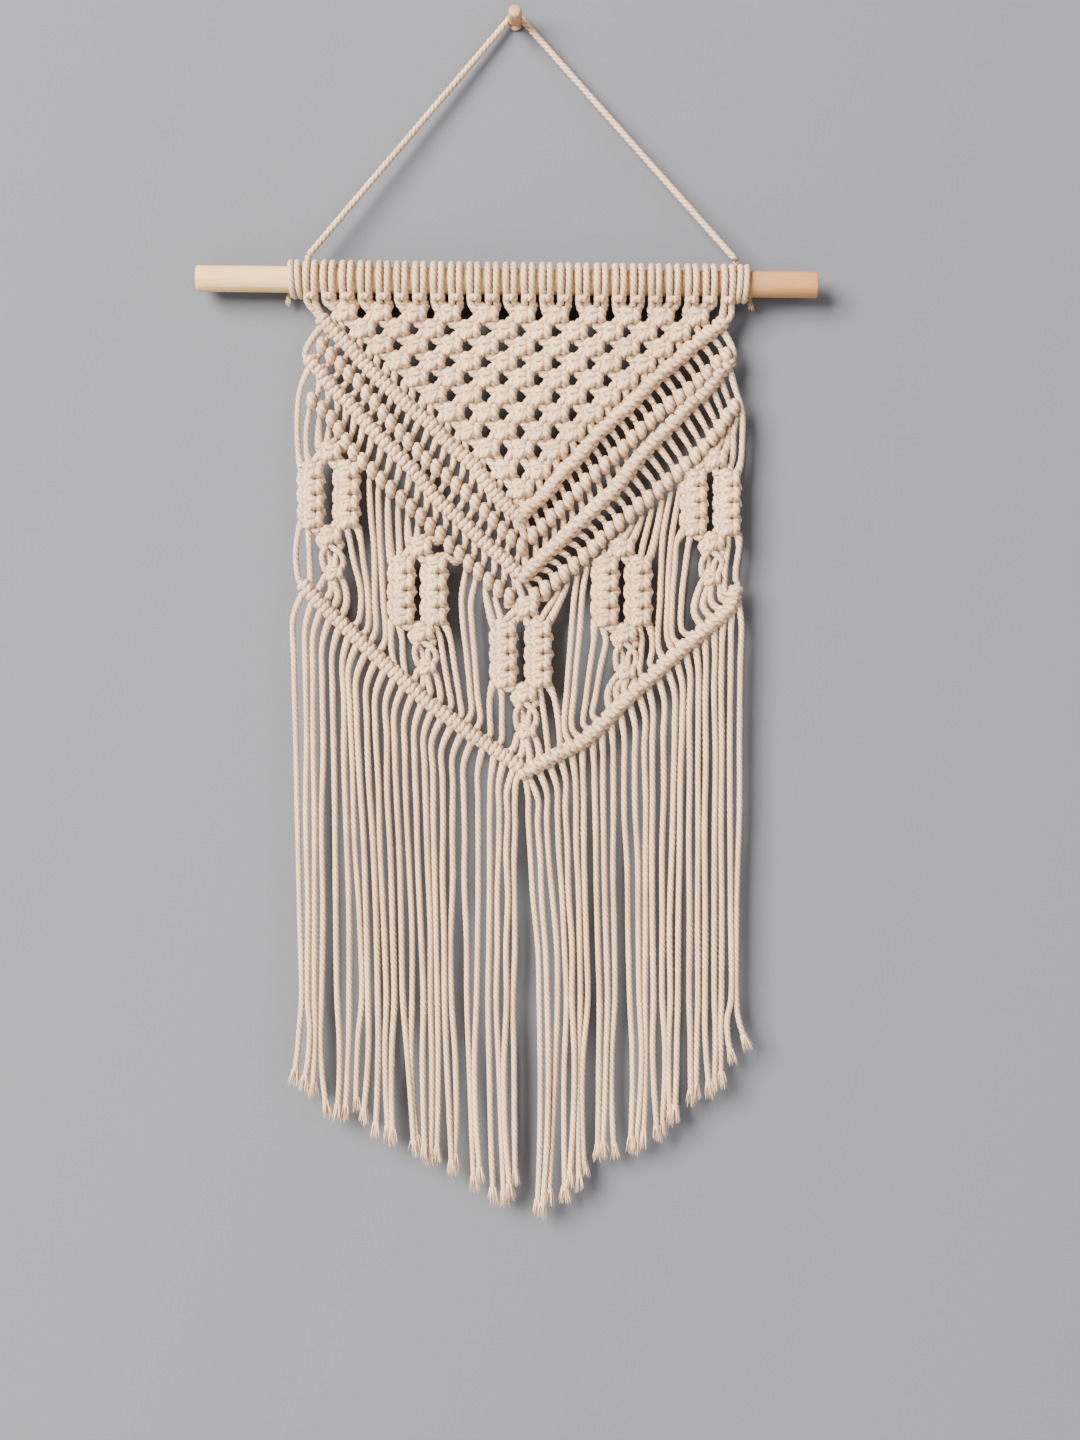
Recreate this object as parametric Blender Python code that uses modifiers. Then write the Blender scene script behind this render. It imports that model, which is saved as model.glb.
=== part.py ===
"""Macrame wall hanging on a wooden dowel, with the peg and the cord it hangs from.

The origin is the middle of the peg's back face, on the wall. +X runs to the right,
+Y into the wall and +Z up. Tables are in millimetres: x from the peg's axis and
drop below it. Everything else is worked out from the named sizes below.
"""

import math

import bpy

MM = 0.001

# Gaps
TOUCH_GAP = 0.4                 # between neighbouring solids
ROLL_GAP = 0.8                  # between a hitch line, which curves, and what meets it

# Cord and knots
CORD = 3.7                      # diameter of the three-strand cotton cord
HANGER_CORD = 3.4               # the same cord, drawn thinner by the load
KNOT_WIDTH = 12.8               # a square knot across its four cords
KNOT_HEIGHT = 8.4
KNOT_DEPTH = 8.0
KNOT_ROUNDING = 1.8
KNOT_SHOULDER = 0.35            # where its widest part starts, as a share of its height
ROLL_RADIUS = 3.7               # a line of double half hitches
BAND_DEPTH = 6.0                # single cords with a knot in each
LEAD_DEPTH = 4.4                # cords that run side by side
FRINGE_DEPTH = 5.0

# Dowel
DOWEL_LENGTH = 305.0
DOWEL_RADIUS = 6.35
DOWEL_X = -4.0
DOWEL_DROP = 130.3
DOWEL_TILT = math.radians(0.6)  # its right end hangs lower
DOWEL_CHAMFER = 0.8
STANDOFF = 11.2                 # from the wall to the dowel's axis and the net's middle

# Peg: flange, neck that the cord lies on, and a barrel-shaped head
PEG_FLANGE_RADIUS = 3.3
PEG_FLANGE = 1.2
PEG_NECK_RADIUS = 1.2
PEG_NECK_END = 5.2
PEG_HEAD_RADIUS = 3.4
PEG_LENGTH = 20.0
PEG_ROUNDING = 1.0
PEG_STEPS = 20

# Hanger
HANGER_DEPTH = 3.2              # from the wall to the cord where it lies on the neck
HANGER_FOOT = {"left": -101.4, "right": 108.2}
HANGER_LEG_POINTS = 24
HANGER_ARC_POINTS = 9

# Cord round the dowel
WRAP_SPANS = {"left": (-110.8, -104.6), "right": (108.4, 114.6)}
HEADING_SPAN = (-104.2, 108.0)
SLEEVE_STEPS = 16

# Lines of double half hitches: columns x, drop
HITCH_LINES = {
    "1_left": [(-98.9, 144.6), (-81.7, 161.8), (-59.6, 184.5), (-40.9, 200.7),
               (-20.7, 219.9), (-0.1, 243.0)],
    "1_right": [(104.6, 147.1), (77.1, 171.2), (54.5, 192.3), (29.4, 218.4), (1.9, 247.4)],
    "2_left": [(-103.3, 164.8), (-80.7, 190.8), (-57.6, 215.4), (-28.6, 245.9), (-0.3, 272.7)],
    "2_right": [(107.6, 165.8), (84.5, 191.3), (61.8, 215.9), (39.7, 241.0),
                (21.5, 258.2), (1.9, 276.9)],
    "3_left": [(-107.3, 275.9), (-90.1, 293.6), (-67.4, 314.7), (-43.4, 336.4),
               (-22.2, 352.1), (1.0, 368.0)],
    "3_right": [(111.0, 278.4), (81.5, 310.8), (59.4, 331.0), (33.8, 356.0),
                (5.3, 371.0), (3.4, 372.1)],
}
ROLL_STEP = 9.0                 # between the points of a hitch line's smooth curve

# Lower edge of the second row of single knots: columns x, drop
BAND_EDGES = {
    "left": [(-106.8, 176.5), (-99.9, 189.3), (-74.8, 219.0), (-52.2, 242.4),
             (-28.1, 264.5), (-7.0, 281.5), (0.2, 283.0)],
    "right": [(110.8, 178.5), (104.1, 189.3), (77.1, 223.7), (54.5, 246.3),
              (38.7, 262.6), (21.0, 278.3), (13.0, 282.5), (3.4, 283.0)],
}
BAND_MIDDLE = {"left": 0.2, "right": 3.4}

# Square-knot net
NET_TOP = 141.6
NET_TOP_STEP = 1.0              # its right end starts lower, as the dowel hangs
NET_ROW_PITCH = 8.0
NET_KNOT_PITCH = 17.2           # between knots in a row
NET_FIRST_ROW_DROP = 145.8      # middle of the first row's knots
NET_FIRST_KNOT_X = -83.4
NET_ROWS = 10
NET_FIRST_ROW_KNOTS = 11
NET_GAP_WIDTH = 3.6
NET_GAP_HEIGHT = 6.4
BAND_GAP_WIDTH = 2.6
BAND_GAP_HEIGHT = 4.4
BAND_GAPS = 18
BAND_END_SHARE = 1.2            # gap pitches from the last gap to the middle, with the first
BAND_GAP_ROOM = 2.4             # gap heights the band needs before it has a gap
BAND_GAP_SHARE = 0.62           # how far down the band each gap lies
EDGE_INSET = 0.5                # corners nearer an end than this are left out

# Five motifs: middle of the upper, middle and lower knots, the two columns' middles,
# their top and bottom, and how far the cords above them reach to each side
MOTIFS = {
    "a": {"top": (-91.0, 214.0), "bottom": (-91.0, 255.2), "lower": (-89.1, 273.4),
          "columns": (-99.4, -82.6), "span": (219.4, 251.2), "leads": (-105.8, -84.9)},
    "b": {"top": (-46.8, 260.7), "bottom": (-45.6, 302.4), "lower": (-43.4, 319.6),
          "columns": (-55.6, -39.2), "span": (265.6, 299.0), "leads": (-62.0, -32.8)},
    "c": {"top": (5.3, 290.2), "bottom": (4.8, 332.4), "lower": (5.6, 351.1),
          "columns": (-5.5, 12.0), "span": (297.0, 329.5), "leads": (-11.9, 18.4)},
    "d": {"top": (52.7, 261.0), "bottom": (54.0, 303.2), "lower": (54.5, 322.1),
          "columns": (44.6, 60.9), "span": (265.6, 299.5), "leads": (38.2, 67.3)},
    "e": {"top": (98.2, 217.6), "bottom": (97.0, 258.2), "lower": (96.3, 275.9),
          "columns": (88.2, 104.6), "span": (223.3, 254.8), "leads": (91.9, 111.0)},
}
SENNIT_KNOTS = 4
SENNIT_WAIST = 0.7              # how far a column draws in between its knots
CROSSING_WIDTH = 9.6
FOOT_WIDTH = 8.8                # four cords below the lowest knot

# Cords beside the knots, down to the last hitch line. Columns: left and right edge
# at the top, half way down and at the bottom
OUTER_LEADS = {
    "a_left": ((-105.8, -97.9), (-108.7, -99.3), (-106.9, -100.9)),
    "a_right": ((-84.2, -75.4), (-79.5, -72.7), (-77.8, -71.4)),
    "b_left": ((-62.0, -53.0), (-62.2, -53.0), (-62.2, -53.2)),
    "b_right": ((-38.8, -29.6), (-36.0, -27.2), (-33.0, -24.8)),
    "c_left": ((-13.8, -4.6), (-13.8, -4.8), (-13.6, -5.0)),
    "c_right": ((11.8, 21.6), (13.5, 22.2), (15.2, 22.4)),
    "d_left": ((38.0, 46.8), (34.6, 43.2), (32.0, 40.0)),
    "d_right": ((60.6, 69.0), (61.2, 69.8), (61.8, 70.2)),
    "e_left": ((81.0, 89.6), (80.2, 88.4), (79.4, 87.2)),
    "e_right": ((103.6, 111.2), (104.2, 113.4), (104.0, 111.2)),
}
# The same for the cords between two motifs, which start under the second band
LOOSE_PAIRS = {
    "ab": ((-75.2, -66.4), (-71.2, -63.4), (-70.8, -62.9)),
    "bc": ((-27.6, -19.4), (-25.0, -18.4), (-23.2, -16.2)),
    "cd": ((26.8, 34.8), (24.6, 31.4), (22.9, 30.2)),
    "de": ((71.2, 80.0), (71.4, 79.8), (70.8, 78.6)),
}

# Fringe: ends of its lower edge on each side, columns x, drop
FRINGE_ENDS = {
    "left": [(-110.4, 527.0), (-83.2, 545.8), (-49.3, 563.5), (-30.6, 572.3),
             (-11.4, 586.6), (1.2, 592.5)],
    "right": [(114.5, 511.0), (105.6, 520.0), (88.9, 536.0), (57.9, 560.0),
              (26.9, 576.8), (17.6, 588.0), (2.0, 592.0)],
}
FRINGE_SPAN = {"left": (-108.4, -0.8), "right": (2.9, 112.6)}
FRINGE_CORDS = 24
FRINGE_TOOTH = 3.3
FRINGE_ROOT = 7.0               # how far the teeth stay joined below the hitch line
FRINGE_POINT = 5.0              # length of each cord's tapered end

COTTON = (0.83, 0.76, 0.66)
COTTON_SHADE = (0.78, 0.70, 0.60)
PALE_WOOD = (0.79, 0.66, 0.47)
PEG_WOOD = (0.70, 0.53, 0.36)


# ---------------------------------------------------------------- scene helpers

def clear_scene():
    """Remove every object that is already in the file."""
    for item in list(bpy.data.objects):
        bpy.data.objects.remove(item, do_unlink=True)


def make_collection(name):
    group = bpy.data.collections.new(name)
    bpy.context.scene.collection.children.link(group)
    return group


def make_material(name, colour, roughness):
    material = bpy.data.materials.new(name)
    material.use_nodes = True
    shader = material.node_tree.nodes["Principled BSDF"]
    shader.inputs["Base Color"].default_value = (*colour, 1.0)
    shader.inputs["Roughness"].default_value = roughness
    shader.inputs["Metallic"].default_value = 0.0
    return material


def place(name, data, material, group):
    """Add an object for a curve or mesh, with its material."""
    item = bpy.data.objects.new(name, data)
    data.materials.append(material)
    group.objects.link(item)
    return item


# ---------------------------------------------------------------- plane geometry

def drop_at(table, x):
    """Drop of a table's line at x, straight between its rows."""
    rows = sorted(table)
    for (x0, d0), (x1, d1) in zip(rows, rows[1:]):
        if x <= x1:
            break
    return d0 + (d1 - d0) * (x - x0) / (x1 - x0)


def offset_line(points, distance):
    """Move each point of a line sideways, to its left as it runs in x and drop."""
    moved = []
    for index, (x, drop) in enumerate(points):
        before = points[max(index - 1, 0)]
        after = points[min(index + 1, len(points) - 1)]
        run = after[0] - before[0]
        fall = after[1] - before[1]
        length = math.hypot(run, fall)
        moved.append((x + fall / length * distance, drop - run / length * distance))
    return moved


def cut_line(points, x_limit, side):
    """Keep the part of a line on one side of x_limit, ending exactly on it."""
    sign = 1.0 if side == "left" else -1.0
    kept = [point for point in points if sign * (point[0] - x_limit) < -0.05]
    if len(kept) < len(points):
        kept.append((x_limit, drop_at(points, x_limit)))
        return kept
    (x0, d0), (x1, d1) = points[-2:]
    kept.append((x_limit, d1 + (d1 - d0) * (x_limit - x1) / (x1 - x0)))
    return kept


def smooth_line(points, step):
    """Catmull-Rom curve through points of any number of coordinates."""
    padded = [points[0], *points, points[-1]]
    curve = []
    for p0, p1, p2, p3 in zip(padded, padded[1:], padded[2:], padded[3:]):
        count = max(1, round(math.dist(p1, p2) / step))
        for index in range(count):
            t = index / count
            curve.append(tuple(
                0.5 * (2 * b + (c - a) * t + (2 * a - 5 * b + 4 * c - d) * t * t
                       + (3 * b - a - 3 * c + d) * t ** 3)
                for a, b, c, d in zip(p0, p1, p2, p3)))
    curve.append(tuple(points[-1]))
    return curve


def diamond(x, drop, width, height):
    return [(x, drop - height / 2), (x + width / 2, drop), (x, drop + height / 2),
            (x - width / 2, drop)]


def to_world(x, drop, depth=STANDOFF):
    """Metres from millimetres, with depth measured out from the wall."""
    return (x * MM, -depth * MM, -drop * MM)


# ---------------------------------------------------------------- solids

def flat_piece(name, outlines, depth, material, group):
    """A flat solid of the given outline and holes, centred on the net's middle plane."""
    curve = bpy.data.curves.new(name, "CURVE")
    curve.dimensions = "2D"
    curve.fill_mode = "BOTH"
    curve.extrude = depth / 2 * MM
    curve.resolution_u = 1
    curve.render_resolution_u = 0
    for outline in outlines:
        spline = curve.splines.new("POLY")
        spline.points.add(len(outline) - 1)
        for point, (x, drop) in zip(spline.points, outline):
            point.co = (x * MM, -drop * MM, 0.0, 1.0)
        spline.use_cyclic_u = True
    item = place(name, curve, material, group)
    item.rotation_euler = (math.pi / 2, 0.0, 0.0)
    item.location = (0.0, -STANDOFF * MM, 0.0)
    return item


def tube(name, points, radius, material, group):
    """A round tube along points given in metres."""
    curve = bpy.data.curves.new(name, "CURVE")
    curve.dimensions = "3D"
    curve.bevel_depth = radius * MM
    curve.bevel_resolution = 2
    curve.use_fill_caps = True
    curve.render_resolution_u = 0
    spline = curve.splines.new("POLY")
    spline.points.add(len(points) - 1)
    for point, place_at in zip(spline.points, points):
        point.co = (*place_at, 1.0)
    return place(name, curve, material, group)


def turned(name, profile, steps, material, group):
    """A profile of (radius, height) in millimetres, turned about the object's Z axis."""
    mesh = bpy.data.meshes.new(name)
    vertices = [(radius * MM, 0.0, height * MM) for radius, height in profile]
    edges = [(index, index + 1) for index in range(len(profile) - 1)]
    if profile[0][0] > 0.0:
        edges.append((len(profile) - 1, 0))
    mesh.from_pydata(vertices, edges, [])
    item = place(name, mesh, material, group)
    screw = item.modifiers.new("turn", "SCREW")
    screw.steps = steps
    screw.render_steps = steps
    screw.use_merge_vertices = True
    screw.merge_threshold = 0.00001
    return item


def rounded_block(name, middle, size, rounding, material, group):
    """A knot or other block with rounded edges, its size given across, down and deep."""
    width, height, depth = size
    bpy.ops.mesh.primitive_cube_add(size=1.0, location=to_world(*middle))
    item = bpy.context.object
    item.name = name
    item.data.name = name
    item.scale = (width * MM, depth * MM, height * MM)
    bpy.ops.object.transform_apply(location=False, rotation=False, scale=True)
    for owner in list(item.users_collection):
        owner.objects.unlink(item)
    group.objects.link(item)
    item.data.materials.append(material)
    bevel = item.modifiers.new("rounding", "BEVEL")
    bevel.width = rounding * MM
    bevel.segments = 2
    return item


# ---------------------------------------------------------------- wood

def build_dowel(wood, group):
    half = DOWEL_LENGTH / 2
    edge = DOWEL_RADIUS - DOWEL_CHAMFER
    profile = [(0.0, half), (edge, half), (DOWEL_RADIUS, half - DOWEL_CHAMFER),
               (DOWEL_RADIUS, DOWEL_CHAMFER - half), (edge, -half), (0.0, -half)]
    dowel = turned("dowel", profile, 32, wood, group)
    dowel.rotation_euler = (0.0, math.pi / 2 + DOWEL_TILT, 0.0)
    dowel.location = to_world(DOWEL_X, DOWEL_DROP)
    return dowel


def build_peg(wood, group):
    head_start = PEG_NECK_END
    shoulder = PEG_HEAD_RADIUS - PEG_ROUNDING
    profile = [(0.0, PEG_LENGTH), (shoulder, PEG_LENGTH),
               (PEG_HEAD_RADIUS, PEG_LENGTH - PEG_ROUNDING),
               (PEG_HEAD_RADIUS, head_start + PEG_ROUNDING), (shoulder, head_start),
               (PEG_NECK_RADIUS, head_start), (PEG_NECK_RADIUS, PEG_FLANGE),
               (PEG_FLANGE_RADIUS, PEG_FLANGE), (PEG_FLANGE_RADIUS, 0.0), (0.0, 0.0)]
    peg = turned("wall_peg", profile, PEG_STEPS, wood, group)
    peg.rotation_euler = (math.pi / 2, 0.0, 0.0)
    return peg


# ---------------------------------------------------------------- hanger and heading

def dowel_point(x, around, radius):
    """A point at an angle round the dowel from its top, towards the room, in metres."""
    drop = DOWEL_DROP + (x - DOWEL_X) * math.tan(DOWEL_TILT)
    return to_world(x, drop - radius * math.cos(around), STANDOFF + radius * math.sin(around))


def hanger_route():
    """From the left foot on the dowel, over the peg's neck and down to the right foot."""
    bend = PEG_NECK_RADIUS + TOUCH_GAP + HANGER_CORD / 2
    foot_radius = DOWEL_RADIUS + CORD + TOUCH_GAP + HANGER_CORD / 2
    feet = {side: dowel_point(x, 0.0, foot_radius) for side, x in HANGER_FOOT.items()}
    spread = math.atan2(feet["right"][0] - feet["left"][0], -2 * feet["left"][2])
    arc = []
    for index in range(HANGER_ARC_POINTS):
        angle = (math.pi / 2 - spread) * (2 * index / (HANGER_ARC_POINTS - 1) - 1)
        angle = max(min(angle, math.pi / 2), -math.pi / 2)
        arc.append((bend * math.sin(angle) * MM, -HANGER_DEPTH * MM, bend * math.cos(angle) * MM))

    def leg(foot, end):
        return [tuple(a + (b - a) * index / HANGER_LEG_POINTS for a, b in zip(foot, end))
                for index in range(HANGER_LEG_POINTS)]

    return leg(feet["left"], arc[0]) + arc + leg(feet["right"], arc[-1])[::-1]


def build_sleeve(name, span, thickness, cotton, group):
    """Cord wound round the dowel, as one ring over its whole width."""
    inner = DOWEL_RADIUS + TOUCH_GAP
    outer = inner + thickness
    half = (span[1] - span[0]) / 2
    profile = [(inner, half), (outer, half), (outer, -half), (inner, -half)]
    ring = turned(name, profile, SLEEVE_STEPS, cotton, group)
    middle = sum(span) / 2
    ring.rotation_euler = (0.0, math.pi / 2 + DOWEL_TILT, 0.0)
    ring.location = to_world(middle, DOWEL_DROP + (middle - DOWEL_X) * math.tan(DOWEL_TILT))
    return ring


# ---------------------------------------------------------------- knotted work

def roll_edge(line, upward):
    """The edge of the free space above or below a hitch line."""
    points = HITCH_LINES[line]
    going_right = points[-1][0] > points[0][0]
    side = 1.0 if going_right == upward else -1.0
    return offset_line(points, side * (ROLL_RADIUS + ROLL_GAP))


def build_hitch_line(name, points, cotton, group):
    route = [to_world(x, drop) for x, drop in smooth_line(points, ROLL_STEP)]
    return tube(f"hitch_line_{name}", route, ROLL_RADIUS, cotton, group)


def net_knots():
    """Middles of the net's square knots, row by row."""
    for row in range(NET_ROWS):
        for column in range(NET_FIRST_ROW_KNOTS - row):
            x = NET_FIRST_KNOT_X + NET_KNOT_PITCH * (column + row / 2)
            yield x, NET_FIRST_ROW_DROP + NET_ROW_PITCH * row


def build_net(cotton, group):
    left = roll_edge("1_left", True)
    right = roll_edge("1_right", True)
    middle = (left[-1][0] + right[-1][0]) / 2
    left = cut_line(left, middle, "left")
    right = cut_line(right, middle, "right")
    tip = (middle, min(left[-1][1], right[-1][1]))
    corners = [(left[0][0], NET_TOP), (right[0][0], NET_TOP + NET_TOP_STEP)]
    outline = [corners[0], *left[1:-1], tip, *right[1:-1][::-1], corners[1]]
    gaps = []
    for x, drop in net_knots():
        gap_drop = drop + NET_ROW_PITCH
        floor = min(drop_at(left, x) if x < middle else drop_at(right, x), tip[1])
        if gap_drop + NET_GAP_HEIGHT < floor:
            gaps.append(diamond(x, gap_drop, NET_GAP_WIDTH, NET_GAP_HEIGHT))
    return flat_piece("knot_net", [outline, *gaps], KNOT_DEPTH, cotton, group)


def band_outline(row, side):
    """Outline of a band of single knots between a hitch line and what is below it."""
    limit = BAND_MIDDLE[side]
    upper = cut_line(roll_edge(f"{row}_{side}", False), limit, side)
    if row == 1:
        lower = cut_line(roll_edge(f"2_{side}", True), limit, side)
    else:
        lower = list(BAND_EDGES[side])
    return upper, lower


def build_band(row, side, cotton, group):
    upper, lower = band_outline(row, side)
    x_start = max(abs(upper[0][0]), abs(lower[0][0])) * (-1 if side == "left" else 1)
    x_end = BAND_MIDDLE[side]
    gaps = []
    for index in range(BAND_GAPS):
        x = x_start + (x_end - x_start) * (index + 1) / (BAND_GAPS + BAND_END_SHARE)
        top = drop_at(upper, x)
        bottom = drop_at(lower, x)
        if bottom - top > BAND_GAP_ROOM * BAND_GAP_HEIGHT:
            place = top + BAND_GAP_SHARE * (bottom - top)
            gaps.append(diamond(x, place, BAND_GAP_WIDTH, BAND_GAP_HEIGHT))
    name = f"knot_band_{row}_{side}"
    return flat_piece(name, [[*upper, *lower[::-1]], *gaps], BAND_DEPTH, cotton, group)


def band_floor(x):
    """Lower edge of the second band, with the gap below it."""
    side = "left" if x <= BAND_MIDDLE["left"] else "right"
    return drop_at(BAND_EDGES[side], x) + TOUCH_GAP


def band_floor_line(left, right):
    """The band's lower edge from left to right, with its own corners."""
    inside = (left + EDGE_INSET, right - EDGE_INSET)
    corners = [x for side in BAND_EDGES.values() for x, _ in side if inside[0] < x < inside[1]]
    return [(x, band_floor(x)) for x in [left, *sorted(corners), right]]


def build_upper_leads(key, motif, cotton, group):
    """Cords fanning from the second band to the first knot and the two columns."""
    left, right = motif["leads"]
    knot_x, knot_drop = motif["top"]
    knot_top = knot_drop - KNOT_HEIGHT / 2 - TOUCH_GAP
    foot = motif["span"][0] - TOUCH_GAP
    knot_left = knot_x - KNOT_WIDTH / 2 - TOUCH_GAP
    knot_right = knot_x + KNOT_WIDTH / 2 + TOUCH_GAP
    outline = band_floor_line(left, right)
    if right > knot_right:
        outline += [(right, foot), (knot_right, foot), (knot_right, knot_top)]
    else:
        outline += [(right, knot_top)]
    if left < knot_left:
        outline += [(knot_left, knot_top), (knot_left, foot), (left, foot)]
    else:
        outline += [(left, knot_top)]
    return flat_piece(f"motif_{key}_upper_leads", [outline], LEAD_DEPTH, cotton, group)


def build_sennit(key, side, x, span, cotton, group):
    """A column of square knots: a strip that swells at each knot."""
    top, bottom = span
    pitch = (bottom - top) / SENNIT_KNOTS
    half = KNOT_WIDTH / 2
    waist = half - SENNIT_WAIST
    profile = [(waist, top)]
    for index in range(SENNIT_KNOTS):
        start = top + pitch * index
        profile += [(half, start + pitch / 4), (half, start + 3 * pitch / 4)]
        profile.append((waist, start + pitch))
    right = [(x + reach, drop) for reach, drop in profile]
    left = [(x - reach, drop) for reach, drop in profile]
    name = f"motif_{key}_sennit_{side}"
    return flat_piece(name, [right + left[::-1]], KNOT_DEPTH, cotton, group)


def build_lower_knots(key, motif, cotton, group):
    """The knot that joins the columns, the crossing, the last knot and its four cords."""
    top = motif["span"][1] + TOUCH_GAP
    bottom_x, bottom_drop = motif["bottom"]
    lower_x, lower_drop = motif["lower"]
    half = KNOT_WIDTH / 2
    stations = [(bottom_x, top, half), (bottom_x, bottom_drop + KNOT_HEIGHT / 2, half),
                ((bottom_x + lower_x) / 2, (bottom_drop + lower_drop) / 2, CROSSING_WIDTH / 2),
                (lower_x, lower_drop - KNOT_SHOULDER * KNOT_HEIGHT, half),
                (lower_x, lower_drop + KNOT_SHOULDER * KNOT_HEIGHT, half)]
    right = [(x + reach, min(drop, foot_drop(x + reach))) for x, drop, reach in stations]
    left = [(x - reach, min(drop, foot_drop(x - reach))) for x, drop, reach in stations]
    feet = []
    for x in (lower_x + FOOT_WIDTH / 2, lower_x - FOOT_WIDTH / 2):
        feet.append((x, foot_drop(x)))
    outline = right + feet + left[::-1]
    return flat_piece(f"motif_{key}_lower_knots", [outline], KNOT_DEPTH, cotton, group)


def foot_drop(x):
    """Where a cord at x meets the last hitch line, whose two halves form a V."""
    halves = (roll_edge("3_left", True), roll_edge("3_right", True))
    return min(drop_at(line, x) for line in halves) - TOUCH_GAP


def build_strip(name, edges, top, cotton, group):
    """Cords side by side from their top edge down to the last hitch line."""
    _, middle, bottom = edges
    ends = [foot_drop(x) for x in bottom]
    half_way = (max(drop for _, drop in top) + min(ends)) / 2
    outline = [*top, (middle[1], half_way), (bottom[1], ends[1]), (bottom[0], ends[0]),
               (middle[0], half_way)]
    return flat_piece(name, [outline], LEAD_DEPTH, cotton, group)


def build_motif(key, motif, cotton, shade, group):
    build_upper_leads(key, motif, cotton, group)
    top_x, top_drop = motif["top"]
    floor = min(top_drop + KNOT_HEIGHT / 2, motif["span"][0] - TOUCH_GAP)
    height = floor - (top_drop - KNOT_HEIGHT / 2)
    middle = (top_x, floor - height / 2)
    size = (KNOT_WIDTH, height, KNOT_DEPTH)
    rounded_block(f"motif_{key}_top_knot", middle, size, KNOT_ROUNDING, shade, group)
    for side, x in zip(("left", "right"), motif["columns"]):
        build_sennit(key, side, x, motif["span"], cotton, group)
        start = motif["span"][1] + TOUCH_GAP
        name = f"motif_{key}_lead_{side}"
        edges = clear_of_knot(key, side, motif)
        build_strip(name, edges, [(x, start) for x in edges[0]], cotton, group)
    build_lower_knots(key, motif, shade, group)


def clear_of_knot(key, side, motif):
    """The lead's edges, kept clear of the knot that joins the columns."""
    edges = [list(pair) for pair in OUTER_LEADS[f"{key}_{side}"]]
    knot_x = motif["bottom"][0]
    lower_x = motif["lower"][0]
    reach = KNOT_WIDTH / 2 + TOUCH_GAP
    for row, x in zip(edges, (knot_x, (knot_x + lower_x) / 2, lower_x)):
        if side == "left":
            row[1] = min(row[1], x - reach)
        else:
            row[0] = max(row[0], x + reach)
    return edges


def build_fringe(side, cotton, group):
    """One comb of the hanging cords' ends under half of the last hitch line."""
    line = sorted(roll_edge(f"3_{side}", False))
    ends = FRINGE_ENDS[side]
    first, last = FRINGE_SPAN[side]
    pitch = (last - first) / (FRINGE_CORDS - 1)
    half = FRINGE_TOOTH / 2
    teeth = []
    for index in range(FRINGE_CORDS):
        x = first + pitch * index
        tip = drop_at(ends, x)
        root = fringe_top(line, x) + FRINGE_ROOT
        teeth += [(x - half, root), (x - half, tip - FRINGE_POINT), (x, tip),
                  (x + half, tip - FRINGE_POINT), (x + half, root)]
    reach = half - EDGE_INSET
    inner = [point for point in line if first - reach < point[0] < last + reach]
    xs = [first - half, *[point[0] for point in inner], last + half]
    top = [(x, fringe_top(line, x)) for x in xs]
    return flat_piece(f"fringe_{side}", [top + teeth[::-1]], FRINGE_DEPTH, cotton, group)


def fringe_top(line, x):
    """Upper edge of a fringe, just under its hitch line."""
    return drop_at(line, x) + TOUCH_GAP


def build_all():
    clear_scene()
    group = make_collection("macrame_wall_hanging")
    cotton = make_material("natural cotton cord", COTTON, 0.9)
    shade = make_material("natural cotton knots", COTTON_SHADE, 0.92)
    dowel_wood = make_material("pale birch dowel", PALE_WOOD, 0.55)
    peg_wood = make_material("beech peg", PEG_WOOD, 0.5)

    build_dowel(dowel_wood, group)
    build_peg(peg_wood, group)
    tube("hanger_cord", hanger_route(), HANGER_CORD / 2, cotton, group)
    for side, span in WRAP_SPANS.items():
        build_sleeve(f"hanger_wraps_{side}", span, HANGER_CORD, shade, group)
    build_sleeve("larks_head_row", HEADING_SPAN, CORD - TOUCH_GAP, shade, group)
    build_net(cotton, group)
    for name, points in HITCH_LINES.items():
        build_hitch_line(name, points, shade, group)
    for row in (1, 2):
        for side in ("left", "right"):
            build_band(row, side, cotton, group)
    for key, motif in MOTIFS.items():
        build_motif(key, motif, cotton, shade, group)
    for key, edges in LOOSE_PAIRS.items():
        build_strip(f"loose_cords_{key}", edges, band_floor_line(*edges[0]), cotton, group)
    for side in ("left", "right"):
        build_fringe(side, cotton, group)


build_all()
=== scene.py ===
"""Macrame wall hanging: the look of every cord, knot and wooden part, in one shared frame.

The hanging is made the way the real one is. Twenty-four cords are folded over a dowel
with lark's head knots, which gives forty-eight ends. Each end is then followed, as one
line, through every knot it takes part in, down to its frayed tip. Lengths are in
millimetres as (x, drop, depth): x from the peg's axis, drop below it, and depth out
from the wall. They turn to metres only where a mesh is made.
"""

import logging
import math
from dataclasses import dataclass, field
from enum import Enum
from typing import ClassVar, Iterable, Sequence

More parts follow.
